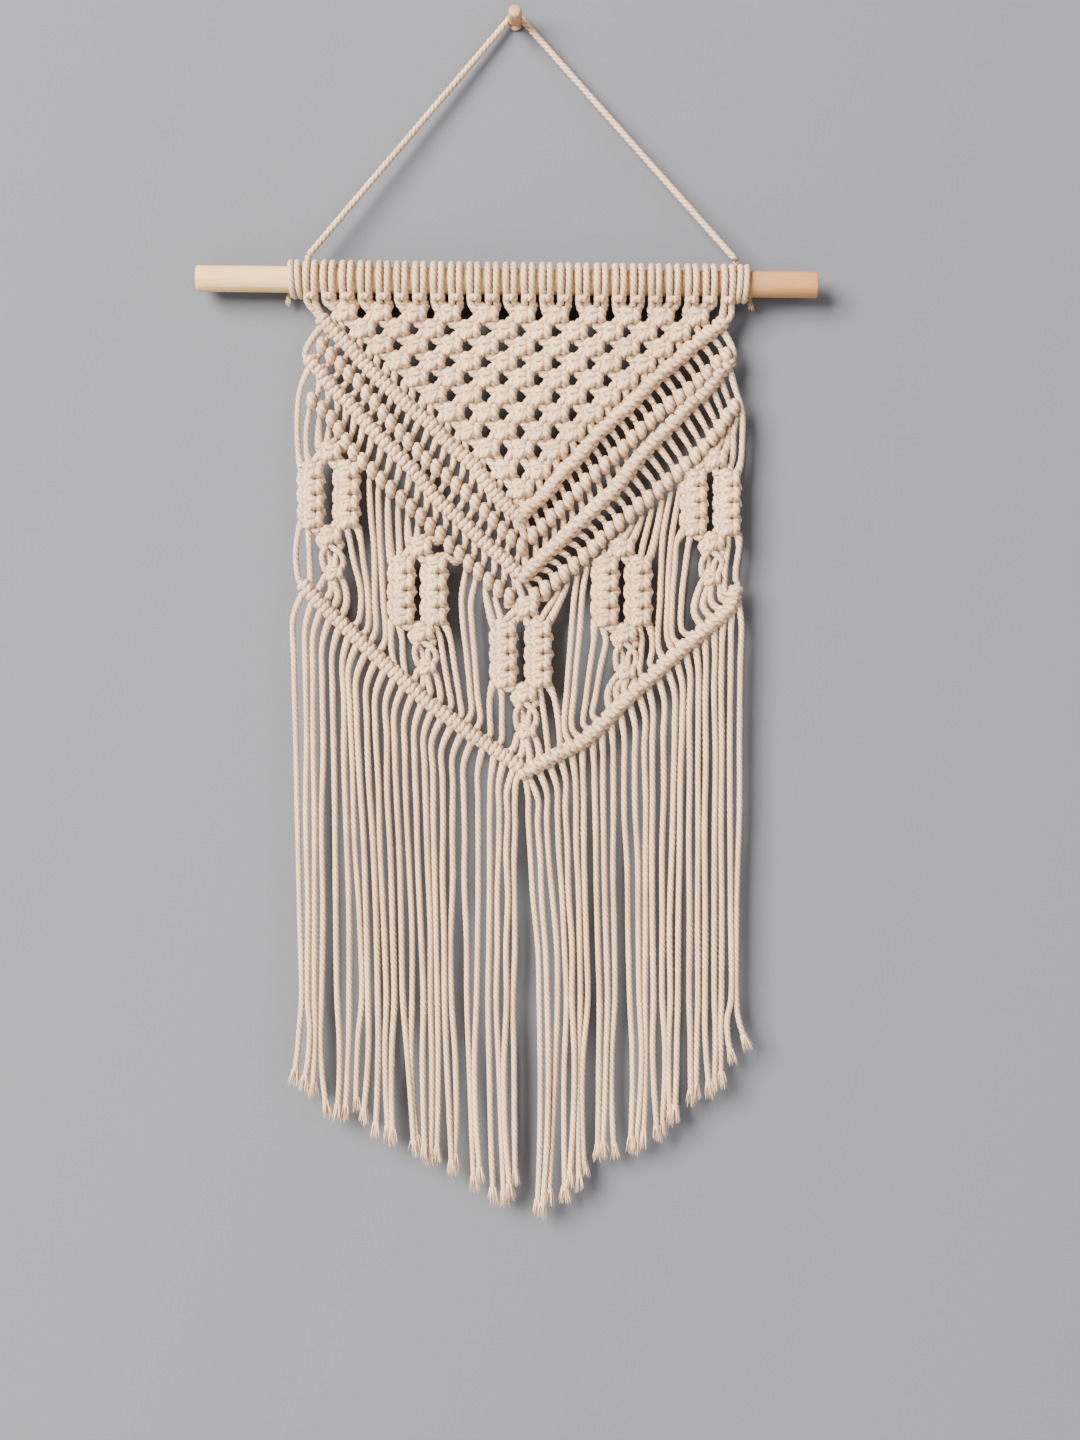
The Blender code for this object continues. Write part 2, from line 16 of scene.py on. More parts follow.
import bpy
import numpy as np
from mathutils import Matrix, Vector


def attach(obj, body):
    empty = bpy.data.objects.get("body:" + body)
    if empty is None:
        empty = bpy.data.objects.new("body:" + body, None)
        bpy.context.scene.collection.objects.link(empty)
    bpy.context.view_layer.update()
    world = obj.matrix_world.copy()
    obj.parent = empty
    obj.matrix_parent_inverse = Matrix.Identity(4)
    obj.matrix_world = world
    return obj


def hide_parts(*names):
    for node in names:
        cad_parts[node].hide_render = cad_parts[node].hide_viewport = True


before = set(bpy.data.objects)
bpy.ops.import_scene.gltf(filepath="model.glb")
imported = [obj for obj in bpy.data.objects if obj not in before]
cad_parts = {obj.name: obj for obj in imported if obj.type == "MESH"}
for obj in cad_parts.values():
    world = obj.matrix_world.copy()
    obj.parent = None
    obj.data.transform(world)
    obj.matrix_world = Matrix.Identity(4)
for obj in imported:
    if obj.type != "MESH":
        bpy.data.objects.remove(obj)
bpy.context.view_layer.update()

LOG = logging.getLogger("macrame")
MM = 0.001
CORDS = 48
PER_HALF = CORDS // 2
MIDDLE = 11.2                    # depth of the dowel's axis and of the net's middle
KNOTTED = 3.7                    # thickness of the cord where it is knotted
FACET = 0.97                     # width of one facet of a cord's skin
LOOK_AROUND = 9.0                # how far to each side a line's direction is read
TINY = 1e-9                      # keeps a division safe
SEED = 20

Point = tuple[float, float, float]
Column = tuple[float, float]


class Slot(Enum):
    """The record's material slots."""

    COTTON = "cotton_cord"
    DOWEL = "dowel_wood"
    PEG = "peg_wood"


class Half(Enum):
    """Which half of the net: its lines run down towards the middle from there."""

    LEFT = "left"
    RIGHT = "right"

    @property
    def outward(self) -> float:
        """-1 for the left half and +1 for the right half."""
        return -1.0 if self is Half.LEFT else 1.0


# ------------------------------------------------------------------ shared helpers


def linear(hex_colour: str, alpha: float = 1.0) -> tuple[float, float, float, float]:
    """Turns an sRGB hex colour to the linear values that a shader wants.

    Args:
        hex_colour: six hex digits, such as "e8dccb".
        alpha: the fourth channel.

    Returns:
        Linear red, green, blue and alpha.
    """
    channels = []
    for start in (0, 2, 4):
        value = int(hex_colour[start:start + 2], 16) / 255.0
        channels.append(value / 12.92 if value <= 0.04045 else ((value + 0.055) / 1.055) ** 2.4)
    return (channels[0], channels[1], channels[2], alpha)


def add_node(
    tree: bpy.types.NodeTree,
    kind: str,
    settings: dict[str, object] | None = None,
    values: dict[str | int, object] | None = None,
    links: dict[str | int, bpy.types.NodeSocket] | None = None,
) -> bpy.types.Node:
    """Adds one node, sets it up and links its inputs.

    Args:
        tree: the node tree that gets it.
        kind: the node's type name.
        settings: attributes of the node.
        values: unlinked input values by socket name or number.
        links: sockets that feed its inputs, by socket name or number.

    Returns:
        The new node.
    """
    node = tree.nodes.new(kind)
    for name, value in (settings or {}).items():
        setattr(node, name, value)
    for name, value in (values or {}).items():
        node.inputs[name].default_value = value
    for name, source in (links or {}).items():
        tree.links.new(source, node.inputs[name])
    return node


def new_material(name: str) -> tuple[bpy.types.Material, bpy.types.NodeTree, bpy.types.Node]:
    """Makes a material that holds only its output node.

    Args:
        name: the real material's name.

    Returns:
        The material, its tree and the output node.
    """
    material = bpy.data.materials.new(name)
    material.use_nodes = True
    tree = material.node_tree
    tree.nodes.clear()
    return material, tree, tree.nodes.new("ShaderNodeOutputMaterial")


def ramp_stops(node: bpy.types.Node, stops: Sequence[tuple[float, str]]) -> None:
    """Sets a colour ramp's stops.

    Args:
        node: the colour ramp.
        stops: position and sRGB hex colour of each stop, in order.
    """
    elements = node.color_ramp.elements
    while len(elements) < len(stops):
        elements.new(0.5)
    for element, (position, colour) in zip(elements, stops):
        element.position = position
        element.color = linear(colour)


def per_metre(millimetres: float) -> float:
    """Returns a pattern's scale: how many of its real size fit in a metre."""
    return 1000.0 / millimetres


def to_metres(points: np.ndarray) -> np.ndarray:
    """Turns (x, drop, depth) in millimetres to the row frame in metres."""
    points = np.asarray(points, float)
    return np.stack([points[..., 0], -points[..., 2], -points[..., 1]], axis=-1) * MM


def at_middle(way: Iterable[Sequence[float]]) -> list[Point]:
    """Gives way points of (x, drop) the depth of the net's middle."""
    return [(*column, MIDDLE) for column in way]


def distances(line: np.ndarray) -> np.ndarray:
    """Returns how far along a line each of its points lies."""
    return np.concatenate([[0.0], np.cumsum(np.linalg.norm(np.diff(line, axis=0), axis=1))])


def on_line(corners: np.ndarray, run: np.ndarray, wanted: np.ndarray) -> np.ndarray:
    """Finds points on a broken line.

    Args:
        corners: its corners as rows of (x, drop).
        run: how far along it each corner lies.
        wanted: how far along it the points lie.

    Returns:
        The points, one row each.
    """
    return np.stack([np.interp(wanted, run, corners[:, axis]) for axis in (0, 1)], axis=1)


def smooth_line(points: np.ndarray, step: float) -> tuple[np.ndarray, np.ndarray, np.ndarray]:
    """Runs a centripetal Catmull-Rom curve through points.

    Args:
        points: the way points, one row each.
        step: the wanted distance between two samples.

    Returns:
        The samples, the number of the span each one lies in, and its place in that span.
    """
    first = 2 * points[0] - points[1]
    last = 2 * points[-1] - points[-2]
    padded = np.vstack([first, points, last])
    gaps = np.maximum(np.linalg.norm(np.diff(padded, axis=0), axis=1), 1e-6) ** 0.5
    knots = np.concatenate([[0.0], np.cumsum(gaps)])
    samples, spans, places = [], [], []
    for span in range(len(points) - 1):
        p0, p1, p2, p3 = padded[span:span + 4]
        t0, t1, t2, t3 = knots[span:span + 4]
        count = max(1, int(round(np.linalg.norm(p2 - p1) / step)))
        for part in range(count):
            place = part / count
            t = t1 + (t2 - t1) * place
            a1 = p0 + (p1 - p0) * (t - t0) / (t1 - t0)
            a2 = p1 + (p2 - p1) * (t - t1) / (t2 - t1)
            a3 = p2 + (p3 - p2) * (t - t2) / (t3 - t2)
            b1 = a1 + (a2 - a1) * (t - t0) / (t2 - t0)
            b2 = a2 + (a3 - a2) * (t - t1) / (t3 - t1)
            samples.append(b1 + (b2 - b1) * (t - t1) / (t2 - t1))
            spans.append(span)
            places.append(place)
    samples.append(points[-1])
    spans.append(len(points) - 2)
    places.append(1.0)
    return np.array(samples), np.array(spans), np.array(places)


def along_line(corners: np.ndarray, count: int) -> tuple[np.ndarray, np.ndarray]:
    """Places stations at even spacing along a broken line, half a spacing from its ends.

    Args:
        corners: the line's corners as rows of (x, drop).
        count: how many stations.

    Returns:
        The stations, and the line's direction at each, as unit rows.
    """
    run = distances(corners)
    wanted = (np.arange(count) + 0.5) * (run[-1] / count)
    ahead = on_line(corners, run, np.minimum(wanted + LOOK_AROUND, run[-1]))
    behind = on_line(corners, run, np.maximum(wanted - LOOK_AROUND, 0.0))
    direction = ahead - behind
    direction /= np.linalg.norm(direction, axis=1, keepdims=True)
    return on_line(corners, run, wanted), direction


# ------------------------------------------------------------------ finishes


@dataclass(frozen=True)
class CottonCord:
    """Three-strand cotton cord, undyed, laid loosely and never brushed."""

    lit: str = "d2b391"
    shade: str = "bfa083"
    # The colour of the shade painted into the grooves between the three strands.
    groove_shade: str = "6e5644"
    patch_mm: float = 26.0
    yarn_mm: float = 0.62
    yarn_run_mm: float = 6.25
    lint_mm: float = 0.9
    roughness: float = 0.92
    sheen: float = 0.08
    bump_mm: float = 0.16

    def material(self) -> bpy.types.Material:
        """Returns unbleached spun cotton: matt, warm and hairy, with shade painted between its
        strands.
        """
        material, tree, output = new_material("unbleached cotton cord, three strands")
        coords = add_node(tree, "ShaderNodeTexCoord")
        # Slow change of tone from one length of cord to the next, as undyed cotton has.
        patches = add_node(
            tree, "ShaderNodeTexNoise",
            values={"Scale": per_metre(self.patch_mm), "Detail": 3.0, "Roughness": 0.6},
            links={"Vector": coords.outputs["Object"]},
        )
        tone = add_node(tree, "ShaderNodeValToRGB", links={"Fac": patches.outputs["Fac"]})
        ramp_stops(tone, [(0.30, self.shade), (0.62, self.lit)])
        # Yarns inside each strand run along it, so the bump is drawn in cord coordinates.
        lay = add_node(
            tree, "ShaderNodeMapping",
            values={"Scale": (per_metre(self.yarn_run_mm), per_metre(self.yarn_mm), 1.0)},
            links={"Vector": coords.outputs["UV"]},
        )
        yarns = add_node(
            tree, "ShaderNodeTexNoise", values={"Scale": 1.0, "Detail": 2.0, "Roughness": 0.55},
            links={"Vector": lay.outputs["Vector"]},
        )
        lint = add_node(
            tree, "ShaderNodeTexNoise",
            values={"Scale": per_metre(self.lint_mm), "Detail": 4.0, "Roughness": 0.65},
            links={"Vector": coords.outputs["Object"]},
        )
        # Painted shade: the grooves between the three strands keep the light out, so their colour
        # is mixed towards a darker one by the groove attribute.
        depth = add_node(tree, "ShaderNodeAttribute", {"attribute_name": "groove_shade"})
        groove_shaded = add_node(
            tree, "ShaderNodeMix", {"data_type": "RGBA"},
            values={7: linear(self.groove_shade)},
            links={0: depth.outputs["Fac"], 6: tone.outputs["Color"]},
        )
        height = add_node(
            tree, "ShaderNodeMath", {"operation": "ADD"},
            links={0: yarns.outputs["Fac"], 1: lint.outputs["Fac"]},
        )
        bump = add_node(
            tree, "ShaderNodeBump", values={"Strength": 0.75, "Distance": self.bump_mm * MM},
            links={"Height": height.outputs["Value"]},
        )
        shader = add_node(
            tree, "ShaderNodeBsdfPrincipled",
            values={
                "Roughness": self.roughness, "IOR": 1.5, "Specular IOR Level": 0.2,
                "Sheen Weight": self.sheen, "Sheen Roughness": 0.6,
                "Sheen Tint": linear("fff4e6"),
            },
            links={"Base Color": groove_shaded.outputs[2], "Normal": bump.outputs["Normal"]},
        )
        tree.links.new(shader.outputs["BSDF"], output.inputs["Surface"])
        return material


@dataclass(frozen=True)
class TurnedWood:
    """Wood turned round, sanded and left bare, with its grain along one axis."""

    name: str
    early: str
    late: str
    fleck: str
    along: tuple[float, float, float]
    warm_end: str
    ring_mm: float = 2.4
    fibre_mm: float = 0.5
    bump_mm: float = 0.08
    roughness: float = 0.55
    warms_from: float = -0.02
    warms_to: float = 0.12

    def material(self) -> bpy.types.Material:
        """Returns sanded wood: grain lines, short dark pores and a dull shine."""
        material, tree, output = new_material(self.name)
        coords = add_node(tree, "ShaderNodeTexCoord")
        stretch = add_node(
            tree, "ShaderNodeMapping", values={"Scale": self.along},
            links={"Vector": coords.outputs["Object"]},
        )
        rings = add_node(
            tree, "ShaderNodeTexNoise",
            values={
                "Scale": per_metre(self.ring_mm), "Detail": 3.0, "Roughness": 0.55,
                "Distortion": 0.6,
            },
            links={"Vector": stretch.outputs["Vector"]},
        )
        tone = add_node(tree, "ShaderNodeValToRGB", links={"Fac": rings.outputs["Fac"]})
        ramp_stops(tone, [(0.32, self.late), (0.66, self.early)])
        fibres = add_node(
            tree, "ShaderNodeTexNoise",
            values={"Scale": per_metre(self.fibre_mm), "Detail": 2.0, "Roughness": 0.5},
            links={"Vector": stretch.outputs["Vector"]},
        )
        pores = add_node(
            tree, "ShaderNodeMapRange",
            values={"From Min": 0.60, "From Max": 0.74, "To Min": 0.0, "To Max": 0.6},
            links={"Value": fibres.outputs["Fac"]},
        )
        flecked = add_node(
            tree, "ShaderNodeMix", {"data_type": "RGBA"}, values={7: linear(self.fleck)},
            links={0: pores.outputs["Result"], 6: tone.outputs["Color"]},
        )
        # Between warms_from and warms_to along x the colour is multiplied by warm_end, so one end
        # is darker and warmer than the other.
        place = add_node(
            tree, "ShaderNodeSeparateXYZ", links={"Vector": coords.outputs["Object"]},
        )
        end = add_node(
            tree, "ShaderNodeMapRange",
            values={"From Min": self.warms_from, "From Max": self.warms_to},
            links={"Value": place.outputs["X"]},
        )
        end_tinted = add_node(
            tree, "ShaderNodeMix", {"data_type": "RGBA", "blend_type": "MULTIPLY"},
            values={7: linear(self.warm_end)},
            links={0: end.outputs["Result"], 6: flecked.outputs[2]},
        )
        bump = add_node(
            tree, "ShaderNodeBump", values={"Strength": 0.35, "Distance": self.bump_mm * MM},
            links={"Height": fibres.outputs["Fac"]},
        )
        shader = add_node(
            tree, "ShaderNodeBsdfPrincipled",
            values={"Roughness": self.roughness, "IOR": 1.5, "Specular IOR Level": 0.35},
            links={"Base Color": end_tinted.outputs[2], "Normal": bump.outputs["Normal"]},
        )
        tree.links.new(shader.outputs["BSDF"], output.inputs["Surface"])
        return material


# ------------------------------------------------------------------ one cord


@dataclass
class Route:
    """The way of one cord through its knots, from the fold on the dowel to its tip."""

    points: list[Point] = field(default_factory=list)
    pieces: list[str] = field(default_factory=list)
    girths: list[float] = field(default_factory=list)
    closest: float = 1.3
    drawn_out: ClassVar[float] = 0.86  # a hanging cord is thinner than a knotted one

    def go(self, piece: str, points: Iterable[Sequence[float]], girth: float = 1.0) -> None:
        """Adds way points.

        Args:
            piece: the piece that the cord belongs to from there on.
            points: rows of (x, drop, depth), and the girth there where it differs.
            girth: the cord's thickness, as a share of its usual one.
        """
        for point in points:
            place = (float(point[0]), float(point[1]), float(point[2]))
            if self.points and math.dist(place, self.points[-1]) < self.closest:
                continue
            self.points.append(place)
            self.pieces.append(piece)
            self.girths.append(float(point[3]) if len(point) > 3 else girth)

    def becomes(self, piece: str) -> None:
        """Counts the cord as another piece from its last way point on."""
        self.pieces[-1] = piece


@dataclass
class Sweep:
    """Cross-sections along one cord, ready to be skinned."""

    rings: np.ndarray
    shade: np.ndarray
    lengths: np.ndarray
    line: np.ndarray
    pieces: list[str]


@dataclass(frozen=True)
class RopeLay:
    """How the cord is laid up: three strands that twist round each other."""

    diameter: float = KNOTTED
    pitch: float = 8.4
    step: float = 1.25
    strands: int = 3
    strand_profile: tuple[float, ...] = (1.0, 0.965, 0.865, 0.965)
    # How much painted shade each of a strand's four section points gets: most in the groove between
    # two strands.
    groove_shade_profile: tuple[float, ...] = (0.0, 0.05, 0.60, 0.05)
    turn: float = 1.0  # an S lay: its strands run down to the right

    def sweep(self, route: Route, phase: float) -> Sweep:
        """Runs the cord's twisted section along a route.

        Args:
            route: the way points and what they belong to.
            phase: where the twist starts, in radians.

        Returns:
            The cross-sections.
        """
        line, spans, places = smooth_line(np.array(route.points), self.step)
        girths = np.array(route.girths)
        next_girths = girths[np.minimum(spans + 1, len(girths) - 1)]
        girth = girths[spans] * (1 - places) + next_girths * places
        tangents = np.gradient(line, axis=0)
        tangents /= np.maximum(np.linalg.norm(tangents, axis=1, keepdims=True), TINY)
        side = np.cross(tangents[0], (0.0, 0.0, 1.0))
        if np.linalg.norm(side) < 0.1:
            side = np.cross(tangents[0], (0.0, 1.0, 0.0))
        sides = np.empty_like(line)
        for index, tangent in enumerate(tangents):
            side = side - tangent * side.dot(tangent)
            side /= max(np.linalg.norm(side), TINY)
            sides[index] = side
        fronts = np.cross(tangents, sides)
        run = distances(line)
        around = len(self.strand_profile) * self.strands
        profile = np.tile(self.strand_profile, self.strands) * self.diameter / 2
        angles = (
            np.arange(around)[None, :] * 2 * math.pi / around
            + phase + self.turn * 2 * math.pi * run[:, None] / self.pitch
        )
        radius = profile[None, :] * girth[:, None]
        rings = (
            line[:, None, :]
            + sides[:, None, :] * (np.cos(angles) * radius)[..., None]
            + fronts[:, None, :] * (np.sin(angles) * radius)[..., None]
        )
        shade = np.tile(np.tile(self.groove_shade_profile, self.strands), (len(line), 1))
        return Sweep(rings, shade, run, line, [route.pieces[span] for span in spans])


@dataclass
class Skein:
    """Gathers tube pieces by name and turns each to one mesh object."""

    material: bpy.types.Material
    parts: dict[str, list[tuple]] = field(default_factory=dict)

    def add(self, sweep: Sweep, rename: dict[str, str] | None = None) -> None:
        """Cuts a swept cord where it passes from one piece to the next.

        Args:
            sweep: the cord.
            rename: piece names to use in place of the route's.
        """
        start = 0
        count = len(sweep.rings)
        for index in range(1, count + 1):
            if index == count or sweep.pieces[index] != sweep.pieces[start]:
                stop = min(index + 1, count)
                name = sweep.pieces[start]
                name = (rename or {}).get(name, name)
                if stop - start > 1:
                    cut = slice(start, stop)
                    part = (sweep.rings[cut], sweep.shade[cut], sweep.lengths[cut])
                    self.parts.setdefault(name, []).append(part)
                start = index

    def add_plain(self, name: str, rings: np.ndarray) -> None:
        """Adds a form without strands to a piece.

        Args:
            name: the piece.
            rings: the form's cross-sections.
        """
        flat = np.zeros(rings.shape[:2])
        lengths = np.arange(len(rings), dtype=float)
        self.parts.setdefault(name, []).append((rings, flat, lengths))

    def build(self, name: str) -> bpy.types.Object:
        """Skins one piece.

        Args:
            name: the piece.

        Returns:
            The object, in the scene.
        """
        vertices, faces, shades, uvs = [], [], [], []
        base = 0
        for rings, shade, lengths in self.parts[name]:
            count, around = rings.shape[:2]
            vertices.append(to_metres(rings).reshape(-1, 3))
            shades.append(shade.reshape(-1))
            ring = np.arange(count - 1)[:, None] * around
            here = np.arange(around)[None, :]
            after = (here + 1) % around
            quads = np.stack(
                [ring + here, ring + here + around, ring + after + around, ring + after], axis=-1
            )
            faces.extend((quads.reshape(-1, 4) + base).tolist())
            low = np.broadcast_to(lengths[:-1, None], (count - 1, around))
            high = np.broadcast_to(lengths[1:, None], (count - 1, around))
            near = np.broadcast_to(here * FACET, (count - 1, around))
            far = near + FACET
            corner = np.stack([low, near, high, near, high, far, low, far], axis=-1)
            uvs.append(corner.reshape(-1, 2) * MM)
            for edge, turn in ((0, 1), (count - 1, -1)):
                cap = (base + edge * around + np.arange(around))[::turn]
                faces.append(cap.tolist())
                uvs.append(np.full((around, 2), lengths[edge] * MM))
            base += count * around
        mesh = bpy.data.meshes.new(name)
        mesh.from_pydata(np.vstack(vertices), [], faces)
        layer = mesh.uv_layers.new(name="cord")
        # The faces were listed span by span, with each cord's two caps after its quads.
        layer.data.foreach_set("uv", np.vstack(uvs).astype(np.float32).ravel())
        # Each point's share of the shade painted between the strands, read by the cotton material.
        groove_shade = mesh.attributes.new("groove_shade", "FLOAT", "POINT")
        groove_shade.data.foreach_set("value", np.concatenate(shades).astype(np.float32))
        mesh.polygons.foreach_set("use_smooth", np.ones(len(mesh.polygons), bool))
        mesh.materials.append(self.material)
        mesh.update()
        piece = bpy.data.objects.new(name, mesh)
        bpy.context.scene.collection.objects.link(piece)
        return piece


def mount_piece(piece: bpy.types.Object, slot: Slot, *nodes: str) -> None:
    """Fixes a finished piece to the body, in place of its plain solids.

    Args:
        piece: the finished object.
        slot: not used.
        nodes: the plain solids that it stands for.
    """
    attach(piece, "root")
    if nodes:
        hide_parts(*nodes)
    LOG.info("%s: %d faces", piece.name, len(piece.data.polygons))


# ------------------------------------------------------------------ knots


@dataclass(frozen=True)
class SquareKnot:
    """A square knot of four cords. Its right working cord makes both bars in front."""

    squeeze: float = 0.94
    girths: tuple[float, float, float, float] = (1.3, 1.0, 0.95, 1.2)
    # Way points of each leg in mm from the knot's middle: across, down, out from the wall.
    left_worker: tuple[Point, ...] = (
        (-5.5, -1.9, -0.2), (-4.3, -0.4, -0.9), (-1.5, -0.9, -2.4), (1.8, -1.6, -2.4),
        (4.0, -2.7, -0.6), (3.9, -1.3, 2.4), (3.9, 0.8, 3.0), (3.6, 2.4, 0.4),
        (1.0, 1.6, -2.4), (-2.0, 0.8, -2.3), (-4.4, 0.5, -0.9), (-5.5, 1.9, -0.2),
    )
    left_filler: tuple[Point, ...] = ((-1.6, -4.0, -0.3), (-2.2, 0.0, 1.5), (-1.9, 4.0, -0.5))
    right_filler: tuple[Point, ...] = ((0.9, -4.3, 0.7), (1.4, 0.0, 1.4), (0.1, 4.1, 0.6))
    right_worker: tuple[Point, ...] = (
        (5.7, -4.6, -0.5), (4.2, -2.6, -0.2), (2.2, -0.9, 2.0), (0.2, -1.8, 2.9), (-1.9, -3.1, 1.9),
        (-3.6, -2.3, -0.2), (-3.4, 0.0, -0.8), (-3.6, 2.3, -0.2), (-1.9, 3.1, 1.9), (0.2, 1.8, 2.9),
        (2.2, 0.9, 2.0), (4.2, 2.6, -0.2), (5.6, 4.4, -0.5),
    )

    def legs(self, x: float, drop: float, lean: float = 0.0, size: float = 1.0) -> list[np.ndarray]:
        """Gives the four cords' way points, left to right.

        Args:
            x: the knot's middle.
            drop: the knot's middle.
            lean: how far its foot is moved sideways for each millimetre down.
            size: a share of its usual size.

        Returns:
            Way points for the left worker, the two fillers and the right worker.
        """
        found = []
        for leg in (self.left_worker, self.left_filler, self.right_filler, self.right_worker):
            rows = np.array(leg) * size * (self.squeeze, 1.0, 1.0)
            rows[:, 0] += x + lean * rows[:, 1]
            found.append(rows + (0.0, drop, MIDDLE))
        return found


@dataclass(frozen=True)
class DoubleHalfHitch:
    """Two turns of a cord round a holding cord, side by side in front."""

    radius: float = 1.9
    flat: float = 1.05
    girth: float = 1.16
    forward: float = 0.7
    lobe: float = 2.9
    lean: float = -0.1
    # Degrees round the holding cord from its top, and the share of a lobe along it.
    turns: tuple[tuple[float, float], ...] = (
        (-100, -0.62), (-150, -0.80), (-200, -0.70), (-245, -0.55), (-270, -0.50),
        (-300, -0.48), (-345, -0.40), (-390, -0.20), (-450, 0.02), (-510, 0.25), (-555, 0.45),
        (-600, 0.52), (-630, 0.52), (-660, 0.50), (-705, 0.42), (-760, 0.22), (-810, 0.02),
    )

    def leg(self, station: np.ndarray, direction: np.ndarray) -> np.ndarray:
        """Gives the way points of one hitch.

        Args:
            station: (x, drop) of the hitch's middle on the holding cord.
            direction: the holding cord's unit direction there, towards the middle.

        Returns:
            Way points from above to below.
        """
        up = np.array([direction[1], -direction[0]])
        if up[1] > 0:
            up = -up
        rows = []
        for degrees, shift in self.turns:
            angle = math.radians(-degrees)
            rise = self.radius * math.cos(angle)
            out = self.radius * self.flat * -math.sin(angle)
            slide = shift * self.lobe + self.lean * rise
            place = station + direction * slide + up * rise
            rows.append((place[0], place[1], MIDDLE + self.forward + out))
        return np.array(rows)


@dataclass(frozen=True)
class SingleKnot:
    """A single cord knotted on itself: one upright bar in front, its ends turned in."""

    rise: float = 1.95
    bulge: float = 2.5
    reach: float = 2.8
    forward: float = 0.3
    # Across, down and out, in shares of reach, rise and bulge, and the cord's girth there.
    shape: tuple[tuple[float, float, float, float], ...] = (
        (-1.00, -2.30, -0.60, 0.78), (-0.60, -1.10, -0.80, 0.85), (-0.35, 0.20, -1.00, 1.0),
        (-0.20, 1.15, -0.45, 1.1), (-0.02, 1.35, 0.40, 1.25), (0.0, 0.30, 1.05, 1.5),
        (0.0, -0.80, 0.85, 1.3), (0.10, -1.35, 0.05, 1.1), (0.30, -0.55, -0.95, 1.0),
        (0.30, 0.90, -0.90, 0.85), (0.50, 2.30, -0.60, 0.78),
    )

    def leg(self, x: float, drop: float, outward: float) -> np.ndarray:
        """Gives the way points of one knot.

        Args:
            x: the bar's middle.
            drop: the bar's middle.
            outward: -1 in the left half, +1 in the right half.

        Returns:
            Way points from above to below, each with the cord's girth there.
        """
        rows = np.array(self.shape)
        scale = (self.reach * outward, self.rise, self.bulge, 1.0)
        return rows * scale + (x, drop, MIDDLE + self.forward, 0.0)


# ------------------------------------------------------------------ parts of the hanging


@dataclass(frozen=True)
class Dowel:
    """The round rod that everything hangs from."""

    centre_x: float = -4.0
    centre_drop: float = 130.3
    length: float = 305.0
    radius: float = 6.35
    tilt: float = math.radians(0.6)
    around: int = 64
    plain_rings: int = 49
    plain_from: float = 6.0
    waver: float = 0.05
    # The worn edge of each end: back from the end, and the change of radius there.
    worn_edge: tuple[Column, ...] = ((1.0, 0.0), (0.45, -0.10), (0.12, -0.38), (0.0, -0.85))
    sawn_bulge: float = 0.05

    def axis_drop(self, x: float) -> float:
        """Returns the drop of the dowel's axis at x."""
        return self.centre_drop + (x - self.centre_x) * math.tan(self.tilt)

    def on_surface(self, x: float, degrees: float, radius: float) -> Point:
        """Returns a point at an angle round the axis: 0 is the top and 90 the front."""
        angle = math.radians(degrees)
        return (x, self.axis_drop(x) - radius * math.cos(angle), MIDDLE + radius * math.sin(angle))

    def build(self, finish: TurnedWood) -> bpy.types.Object:
        """Turns the rod, with sawn ends whose edges are worn round.

        Args:
            finish: its wood.

        Returns:
            The dowel.
        """
        half = self.length / 2
        right = [(half - back, self.radius + change) for back, change in self.worn_edge]
        right.append((half + self.sawn_bulge, self.radius * 0.5))
        reach = half - self.plain_from
        stations = [(-at, radius) for at, radius in reversed(right)]
        stations += [(at, self.radius) for at in np.linspace(-reach, reach, self.plain_rings)]
        stations += right
        # A few long, shallow waves leave the rod slightly out of true.
        waves = np.random.default_rng(SEED).uniform(-self.waver, self.waver, (4, 2))
        rings = []
        for at, radius in stations:
            x = self.centre_x + at * math.cos(self.tilt)
            swell = sum(
                a * math.sin(at / (18.0 + 13.0 * n) + 9 * b) for n, (a, b) in enumerate(waves)
            )
            size = radius + (swell * 0.6 if radius == self.radius else 0.0)
            turns = (360.0 * k / self.around for k in range(self.around))
            rings.append([self.on_surface(x, degrees, size) for degrees in turns])
        skin = Skein(finish.material())
        skin.add_plain("dowel_turned", np.array(rings))
        return skin.build("dowel_turned")

    def hang(self, finish: TurnedWood) -> None:
        """Builds the dowel and fixes it in place of its plain solid."""
        mount_piece(self.build(finish), Slot.DOWEL, "dowel")


